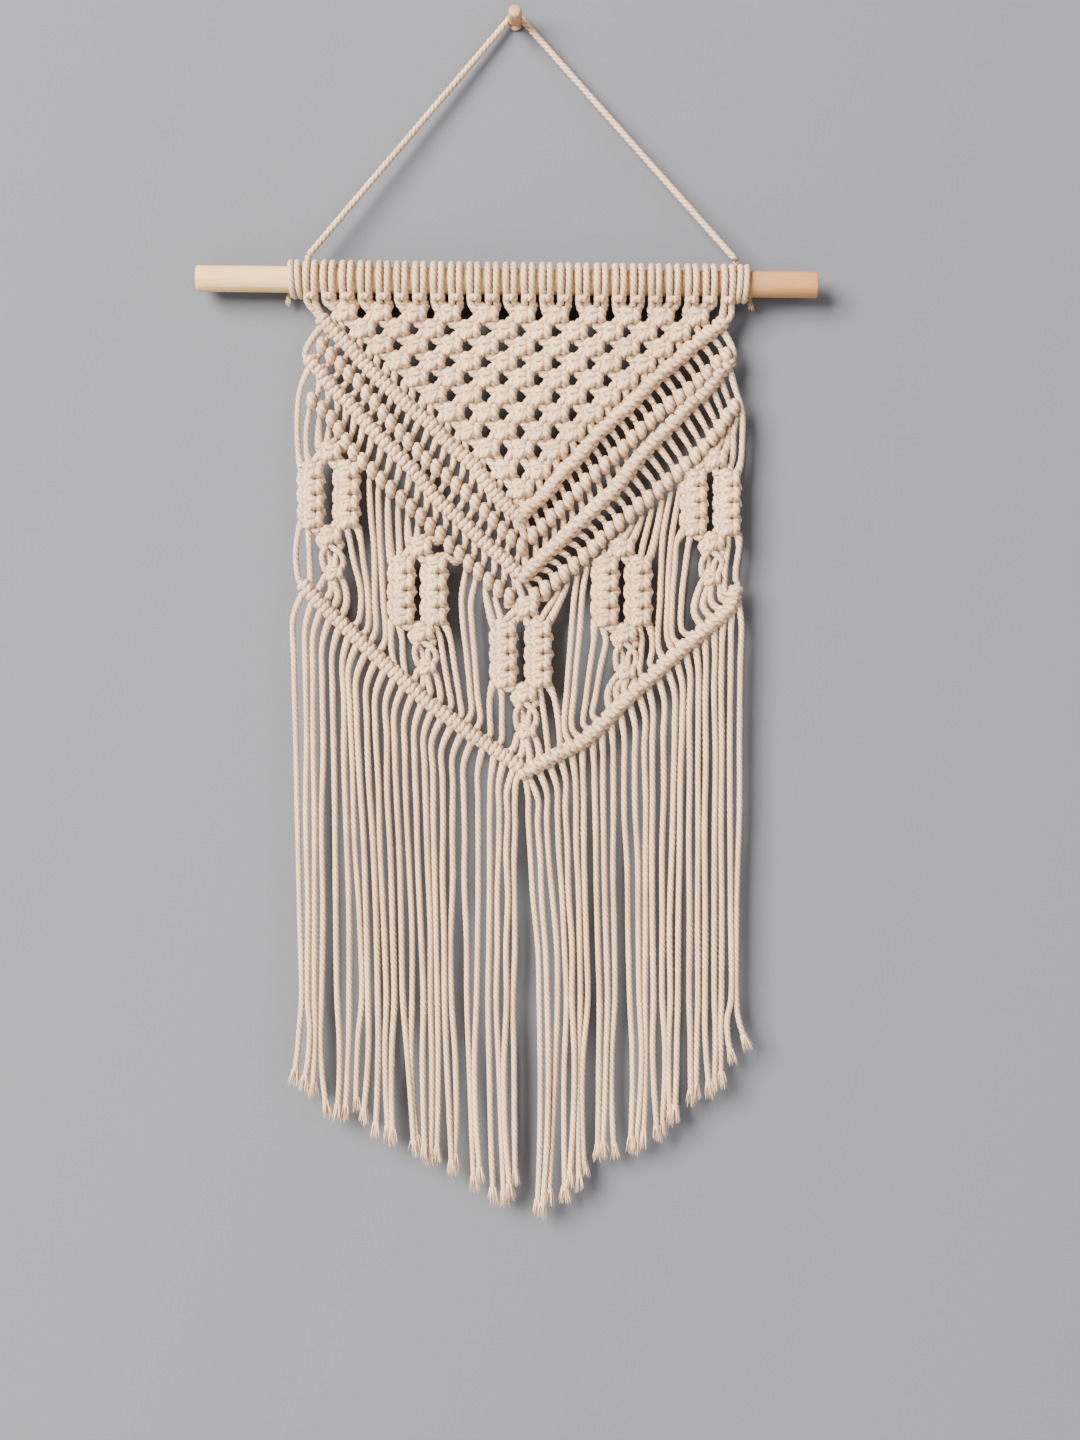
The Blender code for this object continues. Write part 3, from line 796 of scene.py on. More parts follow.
@dataclass(frozen=True)
class WallPeg:
    """The turned wooden pin in the wall that carries the hanger cord."""

    flange_radius: float = 3.3
    flange: float = 1.2
    neck_radius: float = 1.2
    neck_end: float = 5.2
    head_radius: float = 3.4
    length: float = 20.0
    around: int = 48

    def profile(self) -> list[Column]:
        """Returns the turned outline as (depth, radius), from the wall outwards."""
        rim, neck, head = self.flange_radius, self.neck_radius, self.head_radius
        foot, start, tip = self.flange, self.neck_end, self.length
        middle = (start + tip) / 2
        flange = [(0.0, 0.6), (0.0, rim - 0.3), (0.25, rim), (foot - 0.3, rim), (foot, rim - 0.35)]
        waist = [(foot + 0.15, neck + 0.35), (foot + 0.6, neck), (start - 0.5, neck)]
        shoulder = [(start - 0.1, neck + 0.5), (start + 0.15, head - 1.0)]
        shoulder += [(start + 0.7, head - 0.35), (start + 1.6, head - 0.12)]
        barrel = [(middle - 2.5, head - 0.02), (middle, head), (middle + 3.5, head - 0.05)]
        crown = [(tip - 1.2, head - 0.25), (tip - 0.5, head - 0.6), (tip - 0.12, head - 1.2)]
        crown += [(tip, head - 2.0), (tip, 0.3)]
        return flange + waist + shoulder + barrel + crown

    def hang(self, finish: TurnedWood) -> None:
        """Turns the peg and fixes it in place of its plain solid.

        Args:
            finish: its wood.
        """
        turns = np.arange(self.around) * 2 * math.pi / self.around
        across, up = np.sin(turns), np.cos(turns)
        rings = [
            np.stack([radius * across, -radius * up, np.full(self.around, depth)], axis=1)
            for depth, radius in self.profile()
        ]
        skin = Skein(finish.material())
        skin.add_plain("peg_turned", np.array(rings))
        mount_piece(skin.build("peg_turned"), Slot.PEG, "wall_peg")


@dataclass(frozen=True)
class Hanger:
    """The cord that goes from one end of the dowel over the peg to the other."""

    lay: RopeLay
    peg: WallPeg
    dowel: Dowel
    depth: float = 3.2
    feet: tuple[float, float] = (-101.4, 108.2)
    wraps: tuple[Column, Column] = ((-110.8, -104.6), (108.4, 114.6))
    turn_gap: float = 3.2
    slack: float = 0.4
    leg_points: int = 24
    arc_points: int = 9
    cord_phase: float = 0.4
    tie_phase: float = 1.1
    tie_seed: int = 9
    # Degrees round the dowel where a tie's turns start and stop, and their step.
    turns: tuple[int, int, int] = (75, 811, 27)
    # A tie's start: out along the dowel, degrees round it, and clear of its turns.
    start: tuple[Point, ...] = ((0.5, -10.0, KNOTTED), (1.6, -40.0, 2.0))
    # A tie's tail: out along the dowel, below its axis, and forward from its back.
    tail: tuple[Point, ...] = ((0.9, 6.0, 1.2), (1.6, 10.0, 2.2))

    def route(self) -> list[Point]:
        """Returns the cord's taut route from the left foot, over the neck, to the right foot."""
        size = self.lay.diameter
        bend = self.peg.neck_radius + self.slack + size / 2
        foot_radius = self.dowel.radius + KNOTTED + self.slack + size / 2
        left, right = (self.dowel.on_surface(x, 0.0, foot_radius) for x in self.feet)
        spread = math.atan2(right[0] - left[0], 2 * left[1])
        arc = []
        for index in range(self.arc_points):
            angle = (math.pi / 2 - spread) * (2 * index / (self.arc_points - 1) - 1)
            arc.append((bend * math.sin(angle), -bend * math.cos(angle), self.depth))

        def leg(foot: Point, end: Point) -> list[Point]:
            """Returns the points of one straight leg, without its end."""
            shares = [index / self.leg_points for index in range(self.leg_points)]
            return [tuple(a + (b - a) * share for a, b in zip(foot, end)) for share in shares]

        return leg(left, arc[0]) + arc + leg(right, arc[-1])[::-1]

    def wrap(self, span: Column, outward: float) -> Route:
        """Winds one end of the cord round the dowel.

        Args:
            span: where the turns lie along the dowel.
            outward: -1 at the left end, +1 at the right end.

        Returns:
            Two turns and the short end left behind the dowel.
        """
        radius = self.dowel.radius + self.lay.diameter / 2
        middle = (span[0] + span[1]) / 2 - outward * self.turn_gap / 2
        route = Route(closest=0.8)
        foot = self.feet[0] if outward < 0 else self.feet[1]
        for shift, degrees, lift in self.start:
            x = foot + outward * shift
            route.go("wraps", [self.dowel.on_surface(x, degrees, radius + lift)])
        # It goes down behind the rod first, so each turn crosses the front on its way up.
        for degrees in range(*self.turns):
            x = middle + outward * self.turn_gap * (degrees - 270.0) / 360.0
            route.go("wraps", [self.dowel.on_surface(x, -float(degrees), radius)])
        last = route.points[-1][0]
        base = self.dowel.axis_drop(last)
        route.go("wraps", [
            (last + shift * outward, base + fall, MIDDLE - radius + lift)
            for shift, fall, lift in self.tail
        ], 0.85)
        return route

    def hang(self, cotton: bpy.types.Material) -> None:
        """Builds the cord and its two ties.

        Args:
            cotton: the cord's material.
        """
        skein = Skein(cotton)
        route = Route(closest=0.5)
        route.go("hanger", self.route())
        sweep = self.lay.sweep(route, self.cord_phase)
        skein.add(sweep)
        cord = skein.build("hanger")
        mount_piece(cord, Slot.COTTON, "hanger_cord")
        fray = FrayedEnd(length=4.5, spread=0.9, fibres=12, root=1.2)
        for half, span in zip(Half, self.wraps):
            name = f"hanger_tie_{half.value}"
            skein = Skein(cotton)
            tie = self.wrap(span, half.outward)
            skein.add(self.lay.sweep(tie, self.tie_phase), {"wraps": name})
            direction = np.array([0.15 * half.outward, 1.0, 0.1])
            for rings in fray.fibres_from(np.array(tie.points[-1]), direction, self.tie_seed):
                skein.add_plain(name, rings)
            mount_piece(skein.build(name), Slot.COTTON, f"hanger_wraps_{half.value}")


@dataclass(frozen=True)
class FrayedEnd:
    """A cut end whose three strands have come apart into loose yarn."""

    length: float = 9.0
    spread: float = 1.9
    root: float = 1.55
    fibres: int = 32
    thickness: float = 0.42
    sections: int = 5
    rooted: float = 2.2
    shortest: float = 0.55
    taper: float = 0.72
    curl: tuple[float, float] = (0.5, 0.3)

    def fibres_from(self, end: np.ndarray, direction: np.ndarray, seed: int) -> list[np.ndarray]:
        """Grows the loose yarns out of a cord's end.

        Args:
            end: the end's middle.
            direction: the way that the cord runs there.
            seed: keeps each tuft different and every run the same.

        Returns:
            The cross-sections of each yarn.
        """
        source = np.random.default_rng(SEED * 1000 + seed)
        direction = direction / np.linalg.norm(direction)
        side = np.cross(direction, (0.0, 0.0, 1.0))
        side /= np.linalg.norm(side)
        front = np.cross(direction, side)
        found = []
        for _ in range(self.fibres):
            angle = source.uniform(0, 2 * math.pi)
            off = math.sqrt(source.uniform(0, 1))
            radial = side * math.cos(angle) + front * math.sin(angle)
            start = end + radial * off * self.root - direction * self.rooted
            length = self.length * source.uniform(self.shortest, 1.0)
            lean = radial * off * self.spread * source.uniform(0.5, 1.0)
            curl = side * source.uniform(-self.curl[0], self.curl[0])
            curl = curl + front * source.uniform(-self.curl[1], self.curl[1])
            rings = []
            for part in range(self.sections):
                share = part / (self.sections - 1)
                middle = start + direction * length * share + lean * share ** 1.4
                middle = middle + curl * math.sin(share * 2.6)
                size = self.thickness * (1.0 - self.taper * share)
                turns = np.arange(3) * 2 * math.pi / 3 + angle
                across, out = np.cos(turns)[:, None], np.sin(turns)[:, None]
                rings.append(middle + across * side * size + out * front * size)
            found.append(np.array(rings))
        return found


@dataclass(frozen=True)
class Heading:
    """Twenty-four lark's heads side by side on the dowel."""

    dowel: Dowel
    first_x: float = -100.2
    last_x: float = 104.3
    strand_gap: float = 3.94
    strand_radius: float = 1.72
    girth: float = 0.96
    sway: float = 0.3
    unevenness: float = 0.12
    piece: str = "larks_head_row"
    # One strand from the fold on: share of its reach to the side, degrees round the dowel
    # from its top, and how far it stands out from the strands that lie on the wood.
    strand: tuple[Point, ...] = (
        (0.0, 146, 2.75), (0.50, 147, 2.6), (0.86, 153, 1.9), (1.0, 168, 0.6), (1.0, 195, 0.0),
        (1.0, 230, 0.0), (1.0, 270, 0.0), (1.0, 310, 0.0), (1.0, 345, 0.0), (1.0, 385, 0.0),
        (1.0, 425, 0.0), (1.0, 460, 0.0), (0.98, 485, -0.1),
    )
    # Where it leaves the dowel: share of its reach, below the axis, and out from it.
    foot: tuple[Point, ...] = ((0.92, 7.6, 3.6), (0.95, 10.6, 1.6))

    def tie(self, routes: list[Route]) -> None:
        """Starts all forty-eight ends at the folds of their cords.

        Args:
            routes: the ends, left to right.
        """
        source = np.random.default_rng(SEED + 1)
        wrap = self.dowel.radius + self.strand_radius
        for pair in range(PER_HALF):
            middle = self.first_x + (self.last_x - self.first_x) * pair / (PER_HALF - 1)
            base = self.dowel.axis_drop(middle)
            sway = source.uniform(-self.sway, self.sway)
            for side, route in zip((-1, 1), routes[2 * pair:2 * pair + 2]):
                reach = self.strand_gap / 2 + source.uniform(-self.unevenness, self.unevenness)
                for share, degrees, lift in self.strand:
                    x = middle + side * share * reach + sway * math.sin(math.radians(degrees))
                    place = self.dowel.on_surface(x, degrees, wrap + lift)
                    route.go(self.piece, [place], self.girth)
                route.go(self.piece, [
                    (middle + side * reach * share, base + down, MIDDLE + out)
                    for share, down, out in self.foot
                ])


@dataclass(frozen=True)
class KnotNet:
    """The triangle of square knots under the heading, each row one knot shorter."""

    knot: SquareKnot = SquareKnot()
    first_row: tuple[Column, ...] = (
        (-83.2, 145.6), (-66.5, 145.8), (-49.3, 146.0), (-32.5, 146.2), (-13.9, 146.5),
        (3.8, 146.7), (20.5, 146.9), (38.7, 147.2), (55.7, 147.4), (72.2, 147.6), (89.1, 147.8),
    )
    row_drops: tuple[float, ...] = (
        0.0, 7.9, 15.8, 23.6, 31.5, 39.8, 48.2, 57.3, 66.2, 76.2, 85.6,
    )
    draw_in: float = 0.995
    jitter: Column = (0.25, 0.2)
    lean: float = 0.04
    piece: str = "knot_net"

    def tie(self, routes: list[Route]) -> None:
        """Ties the rows from the top down.

        Args:
            routes: the ends, left to right.
        """
        source = np.random.default_rng(SEED + 2)
        row = np.array(self.first_row)
        top = row[:, 1].copy()
        middle = row[:, 0].mean()
        for number, fall in enumerate(self.row_drops):
            if number:
                top = (top[1:] + top[:-1]) / 2
                xs = (row[1:, 0] + row[:-1, 0]) / 2
                row = np.stack([middle + (xs - middle) * self.draw_in, top + fall], axis=1)
            first = 2 * (number + 1)
            for index, (x, drop) in enumerate(row):
                place = first + 4 * index
                x += source.uniform(-self.jitter[0], self.jitter[0])
                drop += source.uniform(-self.jitter[1], self.jitter[1])
                legs = self.knot.legs(x, drop, source.uniform(-self.lean, self.lean))
                for route, leg, girth in zip(routes[place:place + 4], legs, self.knot.girths):
                    route.go(self.piece, leg, girth)


@dataclass(frozen=True)
class HitchLine:
    """One line of double half hitches, made by all cords of a half round its outer one."""

    number: int
    half: Half
    columns: tuple[Column, ...]
    lead_in: float = 2.0
    hitch: DoubleHalfHitch = DoubleHalfHitch()
    jitter: float = 0.15
    core_girth: float = 0.9
    right_lift: float = 1.4  # the right holding cord ends in front of the left one

    def tie(self, routes: list[Route]) -> None:
        """Ties the line over the cords of its half.

        Args:
            routes: the ends, left to right, as they hang above the line.
        """
        piece = f"hitch_line_{self.number}_{self.half.value}"
        corners = np.array(self.columns)
        stations, directions = along_line(corners, PER_HALF - 1)
        on_left = self.half is Half.LEFT
        holder = routes[0] if on_left else routes[-1]
        order = routes[1:PER_HALF] if on_left else routes[PER_HALF:-1][::-1]
        source = np.random.default_rng(SEED + 10 * self.number + (not on_left))
        for route, station, direction in zip(order, stations, directions):
            jitter = source.uniform(-self.jitter, self.jitter, 2)
            route.go(piece, self.hitch.leg(station + jitter, direction), self.hitch.girth)
        start = corners[0] - directions[0] * self.lead_in
        way = at_middle([start, *stations[1:-2:3]])
        way.append((*corners[-1], MIDDLE + (0.0 if on_left else self.right_lift)))
        holder.go(piece, way, self.core_girth)


def pass_holders(routes: list[Route]) -> list[Route]:
    """Gives the order after a hitch line: its two outer cords now hang in the middle.

    Args:
        routes: the ends, left to right, above the line.

    Returns:
        The ends, left to right, below the line.
    """
    return routes[1:PER_HALF] + [routes[-1], routes[0]] + routes[PER_HALF:-1]


@dataclass(frozen=True)
class KnotBand:
    """A slanting row of single knots, one to a cord."""

    number: int
    half: Half
    columns: tuple[Column, ...]
    first: int
    last: int
    knot: SingleKnot = SingleKnot()
    jitter: Column = (0.25, 0.3)

    def tie(self, routes: list[Route]) -> None:
        """Ties one knot in each cord of the row.

        Args:
            routes: the ends, left to right.
        """
        piece = f"knot_band_{self.number}_{self.half.value}"
        count = abs(self.last - self.first) + 1
        corners = np.array(self.columns)
        run = distances(corners)
        knots = on_line(corners, run, np.linspace(0.0, 1.0, count) * run[-1])
        step = 1 if self.last >= self.first else -1
        source = np.random.default_rng(SEED + 100 + 10 * self.number + (self.half is Half.RIGHT))
        for place, (x, drop) in zip(range(self.first, self.last + step, step), knots):
            x += source.uniform(-self.jitter[0], self.jitter[0])
            drop += source.uniform(-self.jitter[1], self.jitter[1])
            routes[place - 1].go(piece, self.knot.leg(x, drop, self.half.outward))


@dataclass(frozen=True)
class Motif:
    """Eight cords: a square knot, two columns of square knots, and two knots to close them."""

    letter: str
    first: int
    top: Column
    bottom: Column
    lower: Column
    columns: tuple[float, float]
    span: Column
    outer_left: tuple[tuple[Column, ...], tuple[Column, ...]]
    outer_right: tuple[tuple[Column, ...], tuple[Column, ...]]
    feet: tuple[Column, Column, Column, Column]
    arrivals: tuple[tuple[int, tuple[Column, ...]], ...] = ()
    knot: SquareKnot = SquareKnot()
    knots: int = 4
    jitter: float = 0.2
    # Where the crossing's working and core pairs pass: to the side, and out from the wall.
    workers_cross: Column = (4.9, 1.3)
    core_cross: Column = (1.7, -1.2)
    cross_fall: float = 0.6
    cross_girth: float = 0.8
    last_size: float = 0.86
    last_girth: float = 0.88

    def tie_square(self, piece: str, cords: list[Route], x: float, drop: float) -> None:
        """Ties one square knot.

        Args:
            piece: the piece that it belongs to.
            cords: its four cords, left to right.
            x: its middle.
            drop: its middle.
        """
        for route, leg, girth in zip(cords, self.knot.legs(x, drop), self.knot.girths):
            route.go(piece, leg, girth)

    def close(self, piece: str, cords: list[Route]) -> list[Route]:
        """Crosses four cords and ties the last knot: its workers were the fillers above.

        Args:
            piece: the piece that they belong to.
            cords: the four, left to right, as they leave the knot above.

        Returns:
            The four, left to right, as they hang below.
        """
        outer_left, inner_left, inner_right, outer_right = cords
        cross = (self.bottom[1] + self.lower[1]) / 2 + self.cross_fall
        middle = (self.bottom[0] + self.lower[0]) / 2
        for route, side, (reach, lift) in (
            (outer_left, -1, self.core_cross), (outer_right, 1, self.core_cross),
            (inner_left, -1, self.workers_cross), (inner_right, 1, self.workers_cross),
        ):
            way = [(middle + side * reach, cross, MIDDLE + lift)]
            route.go(piece, way, self.cross_girth)
        order = [inner_left, outer_left, outer_right, inner_right]
        legs = self.knot.legs(*self.lower, size=self.last_size)
        for route, leg, foot in zip(order, legs, self.feet):
            route.go(piece, leg, self.last_girth)
            route.go(piece, at_middle([foot]))
        return order

    def tie(self, routes: list[Route]) -> None:
        """Ties the motif in its eight cords.

        Args:
            routes: the ends, left to right, under the second band.
        """
        cords = routes[self.first - 1:self.first + 7]
        name = f"motif_{self.letter}"
        leads = f"{name}_upper_leads"
        closing = f"{name}_lower_knots"
        for route in cords:
            route.becomes(leads)
        for place, way in self.arrivals:
            cords[place].go(leads, at_middle(way), Route.drawn_out)
        self.tie_square(f"{name}_top_knot", cords[2:6], *self.top)
        pitch = (self.span[1] - self.span[0]) / self.knots
        source = np.random.default_rng(SEED + 200 + self.first)
        for column, group, side in zip(self.columns, (cords[:4], cords[4:]), ("left", "right")):
            for index in range(self.knots):
                drop = self.span[0] + pitch * (index + 0.5)
                x = column + source.uniform(-self.jitter, self.jitter)
                self.tie_square(f"{name}_sennit_{side}", group, x, drop)
        self.tie_square(closing, cords[2:6], *self.bottom)
        cords[2:6] = self.close(closing, cords[2:6])
        for side, group, ways in (
            ("left", cords[:2], self.outer_left), ("right", cords[6:], self.outer_right),
        ):
            for route, way in zip(group, ways):
                route.becomes(f"{name}_lead_{side}")
                route.go(f"{name}_lead_{side}", at_middle(way), Route.drawn_out)
        routes[self.first - 1:self.first + 7] = cords


@dataclass(frozen=True)
class LoosePair:
    """Two cords that hang free between two motifs."""

    letters: str
    first: int
    ways: tuple[tuple[Column, ...], tuple[Column, ...]]

    def hang(self, routes: list[Route]) -> None:
        """Runs the two cords down to the last hitch line.

        Args:
            routes: the ends, left to right.
        """
        for route, way in zip(routes[self.first - 1:self.first + 1], self.ways):
            route.becomes(f"loose_cords_{self.letters}")
            route.go(f"loose_cords_{self.letters}", at_middle(way), Route.drawn_out)


@dataclass(frozen=True)
class Fringe:
    """The loose ends below the last hitch line, cut to two slanting edges."""

    half: Half
    roots: tuple[float, ...]
    middles: tuple[float, ...]
    tips: tuple[Column, ...]
    declared: int
    fray: FrayedEnd = FrayedEnd()
    middle_drop: float = 483.3
    below_line: float = 13.0
    layers: Point = (-0.9, 0.8, -0.2)  # three depths in turn, so that neighbours overlap
    upper_shares: tuple[float, ...] = (0.0, 0.12, 0.3, 0.5, 0.75, 1.0)
    lower_shares: tuple[float, ...] = (0.35, 0.7, 1.0)
    sway: float = 1.3
    swing: float = 1.1
    end_reach: float = 0.6  # the middle of the frayed yarns, as a share of their length

    def group(self, routes: list[Route]) -> list[Route]:
        """Returns the ends of this half, left to right."""
        return routes[:PER_HALF] if self.half is Half.LEFT else routes[PER_HALF:]

    def hang(self, routes: list[Route]) -> None:
        """Runs the ends down to their tips.

        Args:
            routes: all ends, left to right, under the last line.
        """
        group = self.group(routes)
        source = np.random.default_rng(SEED + 300 + (self.half is Half.RIGHT))
        for index, route in enumerate(group):
            route.becomes(f"fringe_{self.half.value}")
            root, middle, tip = self.roots[index], self.middles[index], self.tips[index]
            top = route.points[-1][1] + self.below_line
            layer = self.layers[index % 3] + source.uniform(-0.4, 0.4)
            bow = source.uniform(-self.sway, self.sway) + self.swing * math.sin(1.9 * index)
            way = []
            for share in self.upper_shares:
                drop = top + (self.middle_drop - top) * share
                ease = share * share * (3 - 2 * share)
                x = root + (middle - root) * ease + source.uniform(-0.5, 0.5) * (share > 0)
                depth = MIDDLE + layer * min(1.0, share * 3) + source.uniform(-0.2, 0.2)
                way.append((x, drop, depth))
            for share in self.lower_shares:
                drop = self.middle_drop + (tip[1] - self.fray.length - self.middle_drop) * share
                x = middle + (tip[0] - middle) * share + bow * math.sin(math.pi * share)
                way.append((x, drop, MIDDLE + layer + source.uniform(-0.4, 0.4)))
            route.go(f"fringe_{self.half.value}", way, Route.drawn_out)

    def mount(
        self, routes: list[Route], lay: RopeLay, skein: Skein, phases: Sequence[float]
    ) -> None:
        """Args:
            routes: all ends, left to right, under the last line.
            lay: how the cord is laid up.
            skein: where the swept cords are gathered.
            phases: where each cord's twist starts.
        """
        label = f"fringe_{self.half.value}"
        for index, (route, phase) in enumerate(zip(self.group(routes), phases)):
            name = f"{label}_{index + 1:02d}"
            sweep = lay.sweep(route, phase)
            skein.add(sweep, {label: name})
            first = sweep.pieces.index(label)
            line = sweep.line[first:]
            end, direction = line[-1], line[-1] - line[-4]
            seed = 50 * (self.half is Half.RIGHT) + index
            for rings in self.fray.fibres_from(end, direction, seed):
                skein.add_plain(name, rings)
            piece = skein.build(name)
            mount_piece(piece, Slot.COTTON, label)


# ------------------------------------------------------------------ tables of this hanging

# Places are (x, drop) in millimetres, and cords count from 1 at the left.

HITCH_LINES = (
    HitchLine(
        1, Half.LEFT,
        (
            (-95.5, 148.1), (-89.1, 154.5), (-81.7, 161.8), (-75.3, 169.2), (-67.9, 177.1),
            (-59.6, 184.5), (-50.7, 192.8), (-40.9, 200.7), (-31.6, 211.0), (-20.7, 219.9),
            (-11.4, 232.6), (-4.5, 240.0), (1.9, 245.9),
        ),
        4.5,
    ),
    HitchLine(
        1, Half.RIGHT,
        (
            (102.6, 150.0), (94.3, 156.4), (86.4, 162.8), (77.1, 171.2), (69.2, 177.6),
            (61.8, 185.4), (54.5, 192.3), (47.1, 198.7), (38.2, 207.6), (29.4, 218.4),
            (21.0, 225.8), (15.6, 234.1), (7.3, 241.0), (0.9, 247.4),
        ),
        4.0,
    ),
    HitchLine(
        2, Half.LEFT,
        (
            (-101.9, 167.7), (-95.5, 175.1), (-88.6, 184.0), (-80.7, 190.8), (-73.3, 199.7),
            (-65.5, 207.6), (-57.6, 215.4), (-48.8, 224.3), (-38.0, 238.0), (-28.6, 245.9),
            (-21.2, 252.8), (-13.9, 259.7), (-7.0, 265.6), (-3.0, 268.5), (1.9, 274.9),
        ),
    ),
    HitchLine(
        2, Half.RIGHT,
        (
            (106.1, 168.2), (99.2, 176.6), (92.8, 184.9), (84.5, 191.3), (77.1, 200.2),
            (69.2, 207.6), (61.8, 215.9), (55.5, 223.8), (48.6, 232.6), (39.7, 241.0),
            (30.9, 249.3), (21.5, 258.2), (12.7, 266.6), (5.8, 273.4), (1.9, 276.9),
        ),
    ),
    HitchLine(
        3, Half.LEFT,
        (
            (-104.8, 278.4), (-90.1, 293.6), (-67.4, 314.7), (-43.4, 336.4), (-22.2, 352.1),
            (-2.6, 364.9), (2.9, 369.3),
        ),
    ),
    HitchLine(
        3, Half.RIGHT,
        (
            (108.5, 280.3), (105.6, 290.6), (81.5, 310.8), (59.4, 331.0), (33.8, 356.0),
            (5.3, 370.8), (1.9, 372.7),
        ),
    ),
)

BANDS = (
    KnotBand(
        1, Half.LEFT,
        (
            (-95.0, 162.3), (-77.3, 180.0), (-61.1, 199.7), (-43.9, 217.9), (-25.2, 233.1),
            (-7.5, 251.3), (2.9, 260.7),
        ),
        2, 24,
    ),
    KnotBand(
        1, Half.RIGHT,
        (
            (103.6, 166.8), (94.9, 174.9), (86.9, 182.5), (69.2, 196.3), (56.4, 209.0),
            (36.8, 226.7), (23.0, 241.5), (8.8, 254.8),
        ),
        47, 26,
    ),
    KnotBand(
        2, Half.LEFT,
        (
            (-99.9, 188.9), (-91.0, 196.7), (-79.2, 214.0), (-70.4, 223.3), (-52.2, 241.0),
            (-38.4, 253.3), (-23.7, 268.0), (-8.9, 280.8), (-3.0, 285.2),
        ),
        2, 23,
    ),
    KnotBand(
        2, Half.RIGHT,
        (
            (107.3, 191.8), (100.0, 203.5), (90.7, 213.9), (78.1, 226.2), (60.6, 241.0),
            (47.1, 251.8), (38.5, 261.1), (29.4, 269.5), (16.1, 280.8), (9.7, 284.7),
        ),
        47, 25,
    ),
)

MOTIFS = (
    Motif(
        "a", 1, top=(-91.0, 214.0), bottom=(-91.0, 255.2), lower=(-89.1, 273.4),
        columns=(-99.9, -82.4), span=(219.4, 251.3),
        outer_left=(
            ((-106.8, 255.2), (-107.8, 265.1), (-106.8, 274.9)),
            ((-101.4, 257.2), (-100.9, 268.0), (-101.4, 280.8)),
        ),
        outer_right=(
            ((-81.2, 257.7), (-79.2, 268.0), (-75.8, 282.8), (-77.3, 297.5)),
            ((-75.8, 257.7), (-74.3, 269.5), (-72.4, 282.8), (-72.9, 301.5)),
        ),
        feet=((-96.0, 280.3), (-90.6, 282.8), (-87.1, 285.2), (-82.7, 287.7)),
        arrivals=(
            (0, ((-105.3, 182.5), (-106.8, 193.3), (-107.0, 204.1), (-106.3, 215.4))),
            (1, ((-102.4, 202.2), (-102.4, 213.0))),
        ),
    ),
    Motif(
        "b", 11, top=(-46.8, 260.7), bottom=(-45.6, 302.4), lower=(-43.4, 319.6),
        columns=(-55.4, -39.4), span=(265.6, 299.0),
        outer_left=(
            ((-61.1, 304.4), (-60.6, 312.3), (-59.6, 320.1)),
            ((-55.6, 305.4), (-55.2, 314.2), (-54.7, 324.6)),
        ),
        outer_right=(
            ((-37.0, 304.9), (-35.0, 317.2), (-32.5, 331.0), (-31.6, 339.3)),
            ((-32.1, 304.9), (-29.6, 320.1), (-27.1, 335.9), (-26.6, 343.7)),
        ),
        feet=((-50.2, 326.5), (-45.8, 329.5), (-41.9, 332.9), (-37.0, 336.4)),
    ),
    Motif(
        "c", 21, top=(5.3, 290.4), bottom=(4.8, 332.4), lower=(5.6, 351.1), columns=(-5.3, 11.9),
        span=(297.0, 329.5),
        outer_left=(
            ((-12.4, 334.4), (-12.4, 344.7), (-12.4, 353.1)),
            ((-6.5, 334.9), (-6.5, 346.7), (-7.0, 356.5)),
        ),
        outer_right=(
            ((12.9, 334.9), (14.6, 345.7), (16.1, 358.5)),
            ((19.1, 334.4), (21.0, 344.7), (22.0, 355.5)),
        ),
        feet=((-1.1, 360.0), (2.9, 362.9), (7.3, 363.9), (11.9, 361.4)),
    ),
    Motif(
        "d", 31, top=(52.7, 261.1), bottom=(54.0, 303.2), lower=(54.5, 322.1), columns=(44.6, 60.9),
        span=(265.6, 299.5),
        outer_left=(
            ((38.7, 306.4), (36.8, 320.1), (34.8, 335.9), (33.8, 348.2)),
            ((44.6, 306.4), (42.2, 318.7), (39.7, 333.4), (38.2, 343.7)),
        ),
        outer_right=(
            ((62.3, 305.4), (61.8, 313.7), (61.4, 323.1)),
            ((67.3, 305.4), (67.3, 312.3), (66.3, 318.2)),
        ),
        feet=((45.6, 331.9), (49.6, 330.0), (53.5, 331.0), (57.9, 328.0)),
    ),
    Motif(
        "e", 41, top=(98.2, 217.6), bottom=(97.0, 258.2), lower=(96.3, 275.9),
        columns=(88.1, 104.4), span=(223.3, 254.8),
        outer_left=(
            ((79.5, 258.2), (78.4, 271.5), (77.1, 286.7), (78.1, 306.4)),
            ((85.4, 258.2), (83.5, 271.5), (81.8, 286.7), (82.5, 302.4)),
        ),
        outer_right=(
            ((104.6, 259.7), (103.1, 272.0), (103.6, 283.8)),
            ((110.0, 261.1), (108.5, 271.0), (108.5, 276.9)),
        ),
        feet=((87.9, 292.6), (92.3, 289.7), (96.7, 288.2), (101.2, 285.7)),
        arrivals=(
            (6, ((107.3, 204.1), (107.1, 215.4))),
            (7, ((108.5, 184.0), (111.5, 194.3), (111.7, 207.1), (111.0, 217.9))),
        ),
    ),
)

